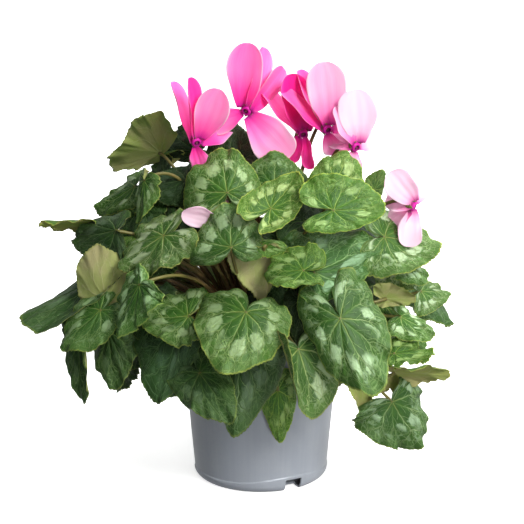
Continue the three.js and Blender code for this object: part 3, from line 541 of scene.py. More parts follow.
def petal_material():
    s = Shader("petal")
    across, along, _ = s.parts(s.uv("petal"))
    side = (across - 0.5) * 2.0
    flank = s.math("ABSOLUTE", side)
    seed, tone, _ = s.parts(s.attribute("bloom"))
    place = s.join(side, along, seed)
    streaks = s.noise(s.join(side * 9.0, along * 0.8, seed), 2.6, 3.0, 0.6)
    depth = tone + (s.noise(place, 1.7, 2.0) - 0.5) * 0.16 + (streaks - 0.5) * 0.14
    # Deeper towards the throat, paler in a thin line round the margin.
    depth = depth + s.step(along, 0.6, 0.05) * 0.26
    depth = depth - s.math("MAXIMUM", s.step(flank, 0.88, 0.99), s.step(along, 0.965, 0.995)) * 0.3
    depth = depth - s.step(flank, 0.45, 1.0) * s.step(along, 0.2, 0.6) * 0.1
    ramp = s.node("ShaderNodeValToRGB", {0: depth})
    elements = ramp.color_ramp.elements
    elements.remove(elements[1])
    elements[0].position = 0.0
    elements[0].color = (*rgb(246, 226, 236), 1.0)
    for at, values in ((0.2, (246, 192, 222)), (0.42, (248, 140, 204)), (0.62, (250, 84, 183)),
                       (0.82, (240, 32, 158)), (1.0, (220, 4, 136))):
        elements.new(at).color = (*rgb(*values), 1.0)
    reach = along + (streaks - 0.5) * 0.16 + flank * 0.05
    colour = s.paint(Value(s, ramp.outputs[0]), (s.step(reach, 0.24, 0.03) * 0.85, (212, 16, 160)),
                     (s.step(reach, 0.09, 0.01) * 0.7, (130, 6, 108)))
    relief = streaks * 0.8 + s.noise(place, 60.0, 2.0) * 0.2
    return s.finish(colour, 0.5, s.bump(relief, 0.35, 0.0004), 0.36,
                    s.paint(colour, (0.3, (255, 190, 236))),
                    Specular_IOR_Level=0.35, Sheen_Weight=0.15)


def throat_material():
    s = Shader("throat")
    place = s.place()
    _, inward, _ = s.parts(s.uv("petal"))
    patch = s.noise(place, 700.0, 2.0)
    outside = s.mix(patch, rgb(214, 30, 160), rgb(180, 16, 138))
    inside = s.mix(patch, rgb(120, 8, 92), rgb(92, 6, 72))
    colour = s.mix(s.step(inward, 0.54, 0.70), outside, inside)
    return s.finish(colour, 0.5, s.bump(patch, 0.3, 0.0003), Specular_IOR_Level=0.3)


def anther_material():
    s = Shader("anther")
    grain = s.noise(s.place(), 2600.0, 2.0)
    colour = s.paint(rgb(96, 24, 70), (grain, (168, 96, 110)))
    return s.finish(colour, 0.8, s.bump(grain, 0.5, 0.0002))


def calyx_material():
    s = Shader("calyx")
    grain = s.noise(s.place(), 600.0, 3.0)
    dots = s.step(s.noise(s.place(), 1800.0, 1.0), 0.60, 0.70)
    colour = s.paint(rgb(88, 92, 48), (grain, (134, 142, 78)), (dots * 0.5, (84, 44, 34)))
    return s.finish(colour, 0.55, s.bump(grain, 0.3, 0.0003))


def pot_material():
    """Satin grey plastic with faint flow lines from the mould and a little dust."""
    s = Shader("pot_plastic")
    x, y, z = s.parts(s.place())
    around = s.math("ARCTAN2", y, x)
    flow = s.noise(s.join(around * 6.0, z * 3.0, 0.0), 3.0, 3.0)
    dust = s.step(s.noise(s.place(), 45.0, 4.0, 0.6), 0.45, 0.75)
    # Painted shade: the bottom centimetre is darker, where the foot turns under.
    foot = s.step(z, 0.010, 0.0)
    colour = s.paint(rgb(139, 145, 154), (flow, (150, 155, 163)), (dust * 0.14, (178, 180, 182)),
                     (foot * 0.25, (112, 115, 122)))
    relief = s.noise(s.place(), 3000.0, 2.0) * 0.5 + flow
    return s.finish(colour, 0.3 + dust * 0.1 + flow * 0.06, s.bump(relief, 0.10, 0.0003),
                    Metallic=0.15, Specular_IOR_Level=0.4)


def soil_material():
    s = Shader("potting_soil")
    place = s.place()
    lumps = s.noise(place, 260.0, 4.0, 0.65)
    fibre = s.step(s.noise(place, 900.0, 2.0, 0.5, 1.5), 0.64, 0.70)
    perlite = s.step(s.noise(place, 330.0, 0.0), 0.76, 0.80)
    colour = s.paint(rgb(28, 20, 14), (s.step(lumps, 0.35, 0.7), (74, 54, 38)),
                     (fibre * 0.7, (124, 92, 58)), (perlite, (190, 184, 170)))
    relief = lumps + s.cells(place, 520.0, "F1") * 0.6
    return s.finish(colour, 0.95, s.bump(relief, 0.9, 0.002), Specular_IOR_Level=0.2)


def tuber_material():
    s = Shader("tuber_skin")
    place = s.place()
    cork = s.cells(place, 230.0)
    rough = s.noise(place, 180.0, 4.0, 0.6)
    colour = s.paint(rgb(58, 42, 32), (rough, (112, 84, 62)),
                     (s.step(cork, 0.06, 0.0), (34, 24, 18)))
    return s.finish(colour, 0.85, s.bump(rough + s.step(cork, 0.0, 0.15) * 0.8, 0.8, 0.0012))


# ---- Geometry -----------------------------------------------------------------------------------

class Sheet:
    """Points, faces, their material and their UVs, gathered for one mesh."""

    def __init__(self):
        self.points, self.faces, self.slots, self.uvs = [], [], [], []
        self.count = 0

    def add(self, points, faces, slot, uvs):
        """points (n, 3) in mm; faces of point numbers; uvs (n, 2) per point, or (faces, k, 2)."""
        self.span(faces, slot, uvs, self.count)
        self.points.append(np.asarray(points, float))
        self.count += len(points)

    def span(self, faces, slot, uvs, first=0):
        """Faces between points of which the first has that number."""
        faces, uvs = np.asarray(faces), np.asarray(uvs, float)
        self.faces.append(faces + first)
        self.slots.append(np.full(len(faces), slot))
        self.uvs.append(uvs[faces] if uvs.ndim == 2 else uvs)

    def build(self, name, materials, uv_name):
        mesh = bpy.data.meshes.new(name)
        points = np.concatenate(self.points) * MM
        corners = np.concatenate([faces.ravel() for faces in self.faces])
        sizes = np.concatenate([np.full(len(faces), faces.shape[1]) for faces in self.faces])
        mesh.vertices.add(len(points))
        mesh.vertices.foreach_set("co", points.ravel())
        mesh.loops.add(len(corners))
        mesh.loops.foreach_set("vertex_index", corners.astype(np.int32))
        mesh.polygons.add(len(sizes))
        mesh.polygons.foreach_set("loop_start", (np.cumsum(sizes) - sizes).astype(np.int32))
        slots = np.concatenate(self.slots).astype(np.int32)
        mesh.polygons.foreach_set("material_index", slots)
        mesh.update(calc_edges=True)
        layer = mesh.uv_layers.new(name=uv_name)
        uvs = np.concatenate([uv.reshape(-1, 2) for uv in self.uvs])
        layer.data.foreach_set("uv", uvs.ravel())
        mesh.shade_smooth()
        for material in materials:
            mesh.materials.append(material)
        mesh.validate()
        return placed(name, mesh)


def placed(name, data):
    made = bpy.data.objects.new(name, data)
    bpy.context.scene.collection.objects.link(made)
    return made


def weld(made):
    """Joins points that lie on one another, so that the skins of a piece close into solids."""
    shape = bmesh.new()
    shape.from_mesh(made.data)
    bmesh.ops.remove_doubles(shape, verts=shape.verts, dist=WELD_REACH)
    bmesh.ops.dissolve_degenerate(shape, edges=shape.edges, dist=WELD_REACH)
    bmesh.ops.recalc_face_normals(shape, faces=shape.faces)
    shape.to_mesh(made.data)
    shape.free()
    return made


def vector_attribute(made, name, values):
    layer = made.data.attributes.new(name, "FLOAT_VECTOR", "POINT")
    layer.data.foreach_set("vector", np.asarray(values, float).ravel())


def unit(vector):
    return vector / np.linalg.norm(vector)


def square_to(axis):
    """Two directions square to an axis and to each other."""
    side = unit(np.cross(axis, (0.0, 0.0, 1.0)))
    return side, np.cross(axis, side)


def circle(sides):
    """Angles evenly round a circle."""
    return np.linspace(0, 2 * math.pi, sides, endpoint=False)


def rounded(x, z, radius, first, last, count):
    """Points of a profile along an arc round x, z."""
    return [(x + radius * math.cos(t), z + radius * math.sin(t))
            for t in np.linspace(first, last, count)]


def arc(turn, share):
    """Place along, and drop below, an arc of unit length that turns by so many degrees."""
    k = np.radians(turn)
    k = np.where(np.abs(k) < 1e-4, 1e-4, k)
    return np.sin(k * share) / k, -(1 - np.cos(k * share)) / k


def curled(origin, axes, x, y, width, length, turns, lift):
    """Points at shares of a width and a length, of a sheet that curls across and along."""
    turn_across, turn_along = turns
    across, drop = arc(turn_across, np.abs(x))
    along, fall = arc(turn_along, np.abs(y))
    lift = lift + drop * width
    bend = np.radians(turn_along) * np.abs(y)
    side, forward, normal = axes
    return (origin + (across * width * np.sign(x))[..., None] * side
            + (np.where(y > 0, 1, -1) * (along * length + lift * np.sin(bend)))[..., None] * forward
            + (fall * length + lift * np.cos(bend))[..., None] * normal)


def grid_faces(rows, columns, around=False):
    """Quads of a grid of points; the columns close on themselves when around."""
    row, column = np.meshgrid(np.arange(rows - 1), np.arange(columns if around else columns - 1),
                              indexing="ij")
    after = (column + 1) % columns
    a, b = row * columns + column, row * columns + after
    c, d = (row + 1) * columns + after, (row + 1) * columns + column
    return np.stack([a, b, c, d], -1).reshape(-1, 4)


def tube(sheet, line, radii, sides, slot):
    """A round bar along a line, closed at both ends, with uvs (around, along)."""
    line = np.asarray(line, float)
    tangents = np.gradient(line, axis=0)
    tangents /= np.linalg.norm(tangents, axis=1)[:, None]
    upright = (0.0, 1.0, 0.0) if abs(tangents[0][1]) < 0.9 else (1.0, 0.0, 0.0)
    side = unit(np.cross(tangents[0], upright))
    turn = circle(sides)[:, None]
    rings = []
    for place, tangent, radius in zip(line, tangents, radii):
        side = unit(side - tangent * side.dot(tangent))
        rings.append(place + radius * (np.cos(turn) * side
                                       + np.sin(turn) * np.cross(tangent, side)))
    # The ends are rings that shrink to one place.
    rings = [np.tile(line[0], (sides, 1)), *rings, np.tile(line[-1], (sides, 1))]
    faces = grid_faces(len(rings), sides, around=True)
    along = np.clip(np.arange(-1, len(line) + 1) / (len(line) - 1), 0, 1)
    uvs = np.stack([np.tile(np.arange(sides) / sides, len(rings)), np.repeat(along, sides)], -1)
    uvs = uvs[faces]
    uvs[..., 0] = np.where(uvs[..., 0] < uvs[:, :1, 0] - 0.5, uvs[..., 0] + 1, uvs[..., 0])
    sheet.add(np.concatenate(rings), faces, slot, uvs)


def bezier(controls, samples):
    s = np.linspace(0, 1, samples)[:, None]
    a, b, c, d = controls
    return (1 - s)**3 * a + 3 * s * (1 - s)**2 * b + 3 * s * s * (1 - s) * c + s**3 * d


def tuber_height(radius):
    return TUBER_MIDDLE + TUBER_HALF_HEIGHT * math.sqrt(max(0, 1 - (radius / TUBER_RADIUS)**2))


def stem(end, arrival, bend, radius):
    """Controls of the curve of one stem from the crown of the tuber."""
    foot = end[:2] * CROWN_SHARE
    reach = np.linalg.norm(foot)
    if reach > CROWN_RADIUS:
        foot = foot * CROWN_RADIUS / reach
        reach = CROWN_RADIUS
    start = np.array([foot[0], foot[1], tuber_height(reach) - STEM_SINK])
    span = np.linalg.norm(end - start)
    return {"controls": np.array([start, start + (start[0], start[1], span * STEM_RISE),
                                  end - arrival * bend * span, end]), "radius": radius}


def part_stems(stems):
    """Stems that cross push each other apart, and keep their far ends."""
    samples = 24
    s = np.linspace(0.04, 1, samples)
    shares = np.stack([(1 - s)**3, 3 * s * (1 - s)**2, 3 * s * s * (1 - s)], -1)
    strength = np.maximum(0.1, (shares**2).sum(1))
    ends = s**3
    for _ in range(PUSH_ROUNDS):
        lines = np.array([shares @ one["controls"][:3] + ends[:, None] * one["controls"][3]
                          for one in stems])
        moved = False
        for (one, line), (other, other_line) in combinations(zip(stems, lines), 2):
            room = one["radius"] + other["radius"] + STEM_GAP
            gaps = line[:, None] - other_line[None]
            lengths = np.linalg.norm(gaps, axis=2)
            k, m = np.unravel_index(lengths.argmin(), lengths.shape)
            if lengths[k, m] >= room:
                continue
            away = gaps[k, m] / max(lengths[k, m], 1e-6)
            push = away * (room - lengths[k, m]) * PUSH_SHARE
            one["controls"][:3] += shares[k][:, None] * push / strength[k]
            other["controls"][:3] -= shares[m][:, None] * push / strength[m]
            moved = True
        for one, line in zip(stems, lines):
            radii = np.linalg.norm(line[:, :2], axis=1)
            low = ((radii > RIM_ZONE[0]) & (radii < RIM_ZONE[1])
                   & (line[:, 2] < POT_HEIGHT + 0.8 + one["radius"]))
            if low.any():
                k = int(np.argmax(low))
                lift = POT_HEIGHT + 1 + one["radius"] - line[k, 2]
                one["controls"][1:3, 2] += lift * shares[k][1:] / strength[k]
                moved = True
            start = one["controls"][0]
            reach = math.hypot(start[0], start[1])
            if reach > CROWN_LIMIT:
                start[:2] *= CROWN_LIMIT / reach
                reach = CROWN_LIMIT
            start[2] = tuber_height(reach) - STEM_SINK
        if not moved:
            break


# ---- Leaves -------------------------------------------------------------------------------------

def unit_outline(theta, kite):
    """Heart outline by angle from the tip: lobes meet in a slit at the petiole."""
    a = np.degrees(np.abs(theta))
    b = 180 - a
    reach = 0.815 + 0.155 * np.exp(-(a / 22)**2) + 0.13 * np.exp(-((b - 50) / 26)**2)
    # The flanks from the sides to the tip are the straighter the greater the kite.
    reach = reach * (1 - kite * np.sin(2 * np.minimum(np.abs(theta), math.pi / 2))**2)
    reach = reach * (1 - 0.92 * np.exp(-(b / 13)**2))
    along = reach * np.cos(theta)
    return reach * np.sin(theta) / 0.82, np.where(along < 0, along / 0.60, along)


def direction(az, el):
    """Unit vector towards degrees round from the front, and degrees up."""
    az, el = np.radians((az, el))
    return np.array([math.sin(az) * math.cos(el), -math.cos(az) * math.cos(el), math.sin(el)])


def leaf_axes(facing):
    """Directions to the right of a blade, to its tip, and square to its face."""
    az, el, spin = facing
    normal, down = direction(az, el), direction(az, el - 90)
    spin = math.radians(spin)
    tip = down * math.cos(spin) + np.cross(normal, down) * math.sin(spin)
    return np.cross(normal, tip), tip, normal


def blade_points(one, theta, share, lift, phase):
    """Points of the blade at angles and shares of the way to the margin, lifted off its middle."""
    x, y = unit_outline(theta, one["kite"])
    # No two outlines are alike: broad swellings, and blunt corners where the main veins end.
    sweep = theta + VEIN_SWEEP * np.sin(theta)
    uneven = (0.030 * np.sin(2 * theta + 1.3 * phase) + 0.022 * np.sin(3 * theta + 2.2 * phase)
              + 0.012 * np.sin(5 * theta + 3.1 * phase) + 0.007 * np.sin(9 * theta + 4.3 * phase)
              + 0.006 * np.cos(VEINS * sweep))
    swell = share * (1 + uneven * share)
    x, y = x * swell, y * swell
    tip, left, right, base = one["size"]
    turn_left, turn_right, turn_tip, turn_base = one["turns"]
    width = np.where(x > 0, right, left)
    length = np.where(y > 0, tip, base)
    ripple = one["wave"]
    rise = ripple * share**2 * np.sin(5 * theta + phase)
    # Ruffles near the margin, crumples all over, and cushions between the sunken veins.
    rise = rise + 1.0 * ripple * share**4 * np.sin(11 * theta + 2.1 * phase)
    rise = rise + 0.5 * ripple * share**5 * np.sin(23 * theta + 3.7 * phase)
    flat_x, flat_y = x * width, y * length
    broad = np.sin(0.15 * flat_x + 1.9 * phase) * np.sin(0.13 * flat_y + 2.7 * phase)
    rise = rise + share * (1.1 * broad
                           + 0.5 * np.sin(0.33 * flat_x - 0.27 * flat_y + 1.1 * phase))
    edge = np.clip(share - 0.78, 0, 1) / 0.22
    rise = rise - edge**2 * (0.9 + 1.3 * np.sin(2 * theta + 1.7 * phase))
    sweep = theta + VEIN_SWEEP * share**2 * np.sin(theta)
    cushion = np.abs(np.sin(VEINS / 2 * sweep))**0.7 - 0.65
    # The blades that show their undersides are the smoother ones.
    small = min(1.0, (tip + left + right) / 90)
    if one["tint"] in ("beige", "olive"):
        small *= 0.4
    rise = rise + 0.85 * cushion * small * np.sin(math.pi * np.clip(share, 0, 1)**0.8)
    turns = np.where(x > 0, turn_right, turn_left), np.where(y > 0, turn_tip, turn_base)
    return curled(one["place"], leaf_axes(one["facing"]), x, y, width, length, turns, lift + rise)


def blade(sheet, one, phase, fine):
    """Two faces and a thin margin, with small teeth along the outline, for an empty sheet."""
    # Points are spread evenly along the outline, with three to a tooth.
    dense = np.linspace(-math.pi, math.pi, 3000)
    outline = blade_points(one, dense, np.ones_like(dense), 0.0, phase)
    run = np.concatenate([[0], np.cumsum(np.linalg.norm(np.diff(outline, axis=0), axis=1))])
    teeth = 2 * max(8, int(round(run[-1] / TOOTH_PITCH / 2)))
    steps = 3 * teeth if fine else 2 * teeth
    margin = np.linspace(0, run[-1], steps + 1)
    theta = np.interp(margin, run, dense)
    theta[0], theta[-1] = -math.pi, math.pi
    saw = np.abs((margin / run[-1] * teeth + 0.15 * np.sin(margin * 0.9)) % 1.0 * 2 - 1)
    saw = (saw - 0.4) * TOOTH_HEIGHT / (sum(one["size"]) / 4)
    saw[-1] = saw[0]
    even = np.linspace(-math.pi, math.pi, steps + 1)
    # Rows of (angle, reach, share of the way), with half as many points in the inner ones.
    rows = []
    for share in BLADE_SHARES:
        turn = theta * share**1.5 + even * (1 - share**1.5)
        reach = share + saw * max(0.0, (share - 0.9) / 0.1)
        row = np.stack([turn, reach, np.full(steps + 1, share)])
        rows.append(row[:, ::2] if share < 0.6 else row)
    starts = np.cumsum([0] + [row.shape[1] for row in rows])
    quads, triples = [], []
    for row, after, low, high in zip(rows, rows[1:], starts, starts[1:]):
        order = np.arange(row.shape[1] - 1)
        low, high = low + order, high + order
        if row.shape == after.shape:
            quads.append((low, low + 1, high + 1, high))
        else:
            high = high + order
            triples += [(low, high + 1, high), (low, low + 1, high + 1),
                        (low + 1, high + 2, high + 1)]
    quads, triples = (np.concatenate([np.stack(face, -1) for face in faces])
                      for faces in (quads, triples))
    turn, reach, share = np.concatenate(rows, 1)
    uvs = np.stack([turn / (2 * math.pi) + 0.5, share], -1)
    half = LEAF_THICKNESS / 2 * np.where(share > 0.95, 0.6, 1.0)
    for slot, side in enumerate((1, -1)):
        first = sheet.count
        points = blade_points(one, turn, reach, side * half, phase)
        sheet.add(points, quads[:, ::side], slot, uvs)
        sheet.span(triples[:, ::side], slot, uvs, first)
    edge, under = np.arange(starts[-2], starts[-1] - 1), starts[-1]
    strip = np.stack([edge + 1, edge, edge + under, edge + under + 1], -1)
    sheet.span(strip, 1, np.tile(uvs, (2, 1)))


def leaf_piece(name, one, index, controls, materials, fine):
    """One blade with its petiole."""
    phase = RIPPLE_STEP * index
    sheet = Sheet()
    blade(sheet, one, phase, fine)
    blade_count = sheet.count
    _, tip, normal = leaf_axes(one["facing"])
    line = bezier(controls, 30)
    line[-1] = one["place"] - normal * LEAF_THICKNESS * 0.2 + tip * 0.6
    share = np.linspace(0, 1, len(line))
    radii = 1.45 - 0.35 * share + 0.25 * np.exp(-((share - 1) / 0.05)**2)
    tube(sheet, line, radii, 9, 2)
    made = sheet.build(name, materials, "blade")
    silver, dark, tint = TINTS[one["tint"]]
    vary = np.random.default_rng(7 + index)
    tint = np.array(tint) * (1 + 0.07 * vary.standard_normal())
    tint = tint * (1 + 0.04 * vary.standard_normal(3))
    count = len(made.data.vertices)
    values = np.tile([index * 3.7, silver * (0.8 + 0.4 * vary.random()), dark], (count, 1))
    # The petiole has its own row of shades instead.
    values[blade_count:, 2] = vary.random()
    vector_attribute(made, "leaf", values)
    layer = made.data.attributes.new("tint", "FLOAT_COLOR", "POINT")
    colours = np.concatenate([np.tile(tint, (count, 1)), np.ones((count, 1))], 1)
    layer.data.foreach_set("color", np.clip(colours, 0, 2).ravel())
    return weld(made)


# ---- Flowers ------------------------------------------------------------------------------------

def half_width(s):
    narrow = 0.30 + 0.70 * np.sin(math.pi / 2 * np.minimum(s / 0.60, 1))**1.05
    tip = np.sqrt(np.clip(1 - (np.clip(s - 0.60, 0, 1) / 0.40)**2.6, 0, 1))
    return np.where(s < 0.60, narrow, tip)


def petal_points(base, one, s, c, lift, phase):
    """Points of a petal at shares of its length and half width, lifted off its middle."""
    angle, lean = math.radians(one["angle"]), math.radians(one["lean"])
    along = np.array([math.sin(angle) * math.cos(lean), -math.sin(lean),
                      math.cos(angle) * math.cos(lean)])
    face = np.array([0.0, -1.0, 0.0])
    face = unit(face - along * face.dot(along))
    side = np.cross(face, along)
    turn = np.radians(one["face"] + one["twist"] * s)[..., None]
    side, face = (side * np.cos(turn) + face * np.sin(turn),
                  face * np.cos(turn) - side * np.sin(turn))
    uneven = (1 + 0.07 * np.sin(4.5 * s + 2 * phase) * np.sign(c)
              + 0.03 * np.sin(11 * s + phase * 3 + c))
    width = half_width(s) * one["width"] / 2 * uneven
    # A gentle waving of the edge, and a channel along the middle.
    wave = 1.5 * np.abs(c)**2.5 * np.sin(math.pi * s) * np.sin(7.5 * s + phase + 1.3 * c)
    wave = wave - 0.5 * np.exp(-(c / 0.16)**2) * np.sin(math.pi * s)
    wave = wave + 0.16 * np.sin(13 * c + phase) * np.sin(math.pi * s)
    return curled(base, (side, along, face), c, s, width, one["length"],
                  (-one["channel"], one["bend"]), lift + wave)


def petal_feet(centre, mouth, petals):
    """Petal feet evenly round the cup, in the order of the petals, turned to suit them."""
    up = np.array([0.0, 0.0, 1.0])
    up = unit(up - mouth * up.dot(mouth))
    right = -np.cross(mouth, up)
    order = sorted(range(len(petals)), key=lambda k: petals[k]["angle"] % 360)
    turns = [math.radians(petals[k]["angle"] - 360 * place / len(petals))
             for place, k in enumerate(order)]
    first = math.atan2(sum(map(math.sin, turns)), sum(map(math.cos, turns)))
    feet = [None] * len(petals)
    for place, k in enumerate(order):
        turn = first + 2 * math.pi * place / len(petals)
        feet[k] = centre + PETAL_FOOT * (math.sin(turn) * right + math.cos(turn) * up)
    return feet


def thin_skin(sheet, front, back, slot, uvs):
    """Two grids of points, closed into a thin solid along their rim."""
    rows, columns = front.shape[:2]
    front, back, uvs = front.reshape(-1, 3), back.reshape(-1, 3), uvs.reshape(-1, 2)
    faces = grid_faces(rows, columns)
    sheet.add(front, faces[:, ::-1], slot, uvs)
    sheet.add(back, faces, slot, uvs)
    index = np.arange(rows * columns).reshape(rows, columns)
    loop = np.concatenate([index[:, 0], index[-1, 1:], index[::-1, -1][1:], index[0, ::-1][1:]])
    strip = np.arange(len(loop) - 1)
    quads = np.stack([strip, strip + 1, strip + 1 + len(loop), strip + len(loop)], -1)
    sheet.add(np.concatenate([front[loop], back[loop]]), quads, slot,
              np.concatenate([uvs[loop], uvs[loop]]))


def petal_sheet(sheet, base, one, phase):
    s, c = np.meshgrid(np.linspace(0, 1, PETAL_ROWS), np.linspace(-1, 1, PETAL_COLUMNS),
                       indexing="ij")
    s = 1 - (1 - s)**1.25
    half = PETAL_THICKNESS / 2 * (1 - 0.6 * np.maximum(np.abs(c)**4, s**8))
    thin_skin(sheet, petal_points(base, one, s, c, half, phase),
              petal_points(base, one, s, c, -half, phase), 0, np.stack([c / 2 + 0.5, s], -1))


def lathe(sheet, profile, centre, axis, sides, slot):
    """A turned skin; profile rows are (radius, way along the axis)."""
    side, up = square_to(axis)
    turn = circle(sides)
    ring = np.cos(turn)[:, None] * side + np.sin(turn)[:, None] * up
    points = np.concatenate([centre + height * axis + radius * ring for radius, height in profile])
    faces = grid_faces(len(profile), sides, around=True)
    uvs = np.stack([np.tile(np.arange(sides) / sides, len(profile)),
                    np.repeat(np.linspace(0, 1, len(profile)), sides)], -1)
    sheet.add(points, faces, slot, uvs)


def five_ways(mouth, first):
    """Five directions evenly round the mouth of a flower."""
    side, up = square_to(mouth)
    turns = [2 * math.pi * k / 5 + first for k in range(5)]
    return [side * math.cos(turn) + up * math.sin(turn) for turn in turns]


def corolla_piece(number, one, mouth, materials):
    base = one["base"]
    sheet = Sheet()
    spans = []
    for k, (foot, item) in enumerate(zip(petal_feet(base, mouth, one["petals"]), one["petals"])):
        before = sheet.count
        petal_sheet(sheet, foot, item, 1.7 * k + number)
        spans.append((before, sheet.count, item["tone"], number * 5 + k))
    lathe(sheet, CUP_PROFILE, base, mouth, 40, 1)
    for out in five_ways(mouth, 0.4):
        foot = base + out * 0.9 - mouth * 1.2
        tip = base + out * 0.35 + mouth * 1.5
        tube(sheet, [foot, foot * 0.5 + tip * 0.5 + out * 0.2, tip], (0.35, 0.42, 0.15), 6, 2)
    made = sheet.build(f"corolla_{number}", materials, "petal")
    values = np.zeros((len(made.data.vertices), 3))
    for first, last, tone, seed in spans:
        values[first:last] = (seed * 2.3, tone, 0)
    vector_attribute(made, "bloom", values)
    return weld(made)


def sepal(sheet, behind, mouth, out):
    flank = np.cross(mouth, out)
    s, c = np.meshgrid(np.linspace(0, 1, SEPAL_ROWS), np.linspace(-1, 1, SEPAL_COLUMNS),
                       indexing="ij")
    width = 1.9 * (1 - s**1.6) + 0.08
    along = -2.4 + 5.6 * s
    reach = 2.75 + 1.75 * np.sin(np.clip(s, 0, 1) * 1.9) - 0.5 * c**2 * width * 0.25
    points = (behind + along[..., None] * mouth + reach[..., None] * out
              + (c * width)[..., None] * flank)
    thin_skin(sheet, points, points + SEPAL_THICKNESS * out, 1, np.stack([c / 2 + 0.5, s], -1))


def stalk_piece(number, one, mouth, controls, materials):
    """The stalk, and the calyx: a small cup with five pointed sepals that hug the corolla."""
    sheet = Sheet()
    line = bezier(controls, 40)
    share = np.linspace(0, 1, len(line))
    tube(sheet, line, 1.75 - 0.6 * share + 0.35 * np.exp(-((share - 1) / 0.04)**2), 10, 0)
    behind = one["base"] - mouth * (CUP_DEPTH / 2)
    lathe(sheet, CALYX_PROFILE, behind, mouth, 30, 1)
    for out in five_ways(mouth, 0.0):
        sepal(sheet, behind, mouth, out)
    made = sheet.build(f"stalk_{number}", materials, "blade")
    vector_attribute(made, "leaf", np.tile([number * 3.1, 0.0, 0.2], (len(made.data.vertices), 1)))
    return weld(made)


# ---- Pot, soil and tuber ------------------------------------------------------------------------

def wall_radius(z):
    return FOOT_RADIUS + TAPER * z


def wall(heights, inset=0.0):
    """Points of a profile along the wall of the pot, or so far inside it."""
    return [(wall_radius(z) - inset, z) for z in heights]


def turned(profile, sides):
    """Points of a profile of (radius, height), turned round the middle of the pot."""
    return [(radius * math.cos(a), radius * math.sin(a), z)
            for radius, z in profile for a in circle(sides)]


def apply_tools(made):
    """Turns the modifiers of the piece into its own mesh."""
    depsgraph = bpy.context.evaluated_depsgraph_get()
    mesh = bpy.data.meshes.new_from_object(made.evaluated_get(depsgraph))
    made.modifiers.clear()
    made.data = mesh


def cut(made, cutters):
    """Takes the cutters out of the piece and throws them away."""
    for cutter in cutters:
        tool = made.modifiers.new("cut", "BOOLEAN")
        tool.object = cutter
        tool.solver = "EXACT"
    apply_tools(made)
    for cutter in cutters:
        bpy.data.objects.remove(cutter)


def ledge_height(angle):
    """Height of the mould's step round the foot, which rises over the forward drain notch."""
    away = abs((math.degrees(angle) - DRAIN_FIRST + 180) % 360 - 180)
    return LEDGE_HEIGHT + LEDGE_RISE * math.exp(-(away / LEDGE_SPREAD)**2)


def pot_piece(material):
    """A moulded shell with a rolled rim, a rounded foot, and drain notches in the foot."""
    z_rim = POT_HEIGHT - RIM_DEPTH
    centre = wall_radius(CORNER) - CORNER
    quarter = math.pi / 2
    outer = [(0.0, 1.4), (20, 1.4), (34, 1.4), (37.0, 1.4), (38.5, 0.8), (40, 0.1), (41, 0.0)]
    foot_rows = len(outer)
    outer += rounded(centre, CORNER, CORNER, 0.1 - quarter, 0, 14)
    outer += wall(np.arange(CORNER + 0.4, 14.5, 0.32)) + wall(np.linspace(16, z_rim - 1.4, 22))
    wall_rows = len(outer) + 1
    outer += [(wall_radius(z_rim) + 0.1, z_rim - 0.5), (wall_radius(z_rim) + 0.5, z_rim - 0.1),
              (RIM_RADIUS - 1.3, z_rim), (RIM_RADIUS - 0.6, z_rim + 0.25),
              (RIM_RADIUS - 0.35, z_rim + 0.9)]
    outer += [(RIM_RADIUS - 0.35 + 0.3 * (z - z_rim) / RIM_DEPTH, z)
              for z in np.linspace(z_rim + 1.6, POT_HEIGHT - 1.6, 4)]
    outer += rounded(RIM_RADIUS - 1.15, POT_HEIGHT - 1.15, 1.1, 0, math.pi, 7)[1:]
    inner = [(RIM_RADIUS - 2.4, z_rim + 1.5), (wall_radius(z_rim) - WALL, z_rim - 0.6)]
    inner += wall(np.linspace(z_rim - 4, CORNER + 1, 16), WALL)
    inner += rounded(centre, CORNER, CORNER - WALL, -0.2, 0.1 - quarter, 5)
    inner += [(36, 3.1), (20, 2.9), (0.0, 2.9)]
    profile = outer + inner
    points = [(0.0, 0.0, profile[0][1])]
    for row, (radius, z) in enumerate(profile[1:-1], 1):
        for angle in circle(POT_SIDES):
            step = 0.0
            if foot_rows <= row < wall_rows:
                step = LEDGE_STEP / (1 + math.exp((z - ledge_height(angle)) / LEDGE_SOFTNESS))
            points.append(((radius + step) * math.cos(angle), (radius + step) * math.sin(angle), z))
    points.append((0.0, 0.0, profile[-1][1]))
    made = turned_piece("pot_shell", points, POT_SIDES, material)
    cut(made, [drain_cutter(math.radians(DRAIN_FIRST + 360 * k / DRAIN_COUNT))
               for k in range(DRAIN_COUNT)])
    soften(made, 0.3)
    return weld(made)


def turned_piece(name, points, sides, material):
    """A closed skin from rings of points, with a single point at its start and its end."""
    rings = (len(points) - 2) // sides
    sheet = Sheet()
    sheet.add(points, grid_faces(rings, sides, around=True) + 1, 0, np.zeros((len(points), 2)))
    order = np.arange(sides)
    after = (order + 1) % sides
    last = len(points) - 1
    start = np.stack([np.zeros(sides, int), after + 1, order + 1], -1)
    end = np.stack([np.full(sides, last), order + last - sides, after + last - sides], -1)
    for triples in (start, end):
        sheet.span(triples, 0, np.zeros((sides, 3, 2)))
    made = sheet.build(name, [material], "skin")
    flip_if_needed(made)
    return made


def flip_if_needed(made):
    """Turns the faces outwards when they face inwards."""
    mesh = made.data
    volume = 0.0
    mesh.calc_loop_triangles()
    for triangle in mesh.loop_triangles:
        a, b, c = (mesh.vertices[i].co for i in triangle.vertices)
        volume += a.dot(b.cross(c))
    if volume < 0:
        mesh.flip_normals()


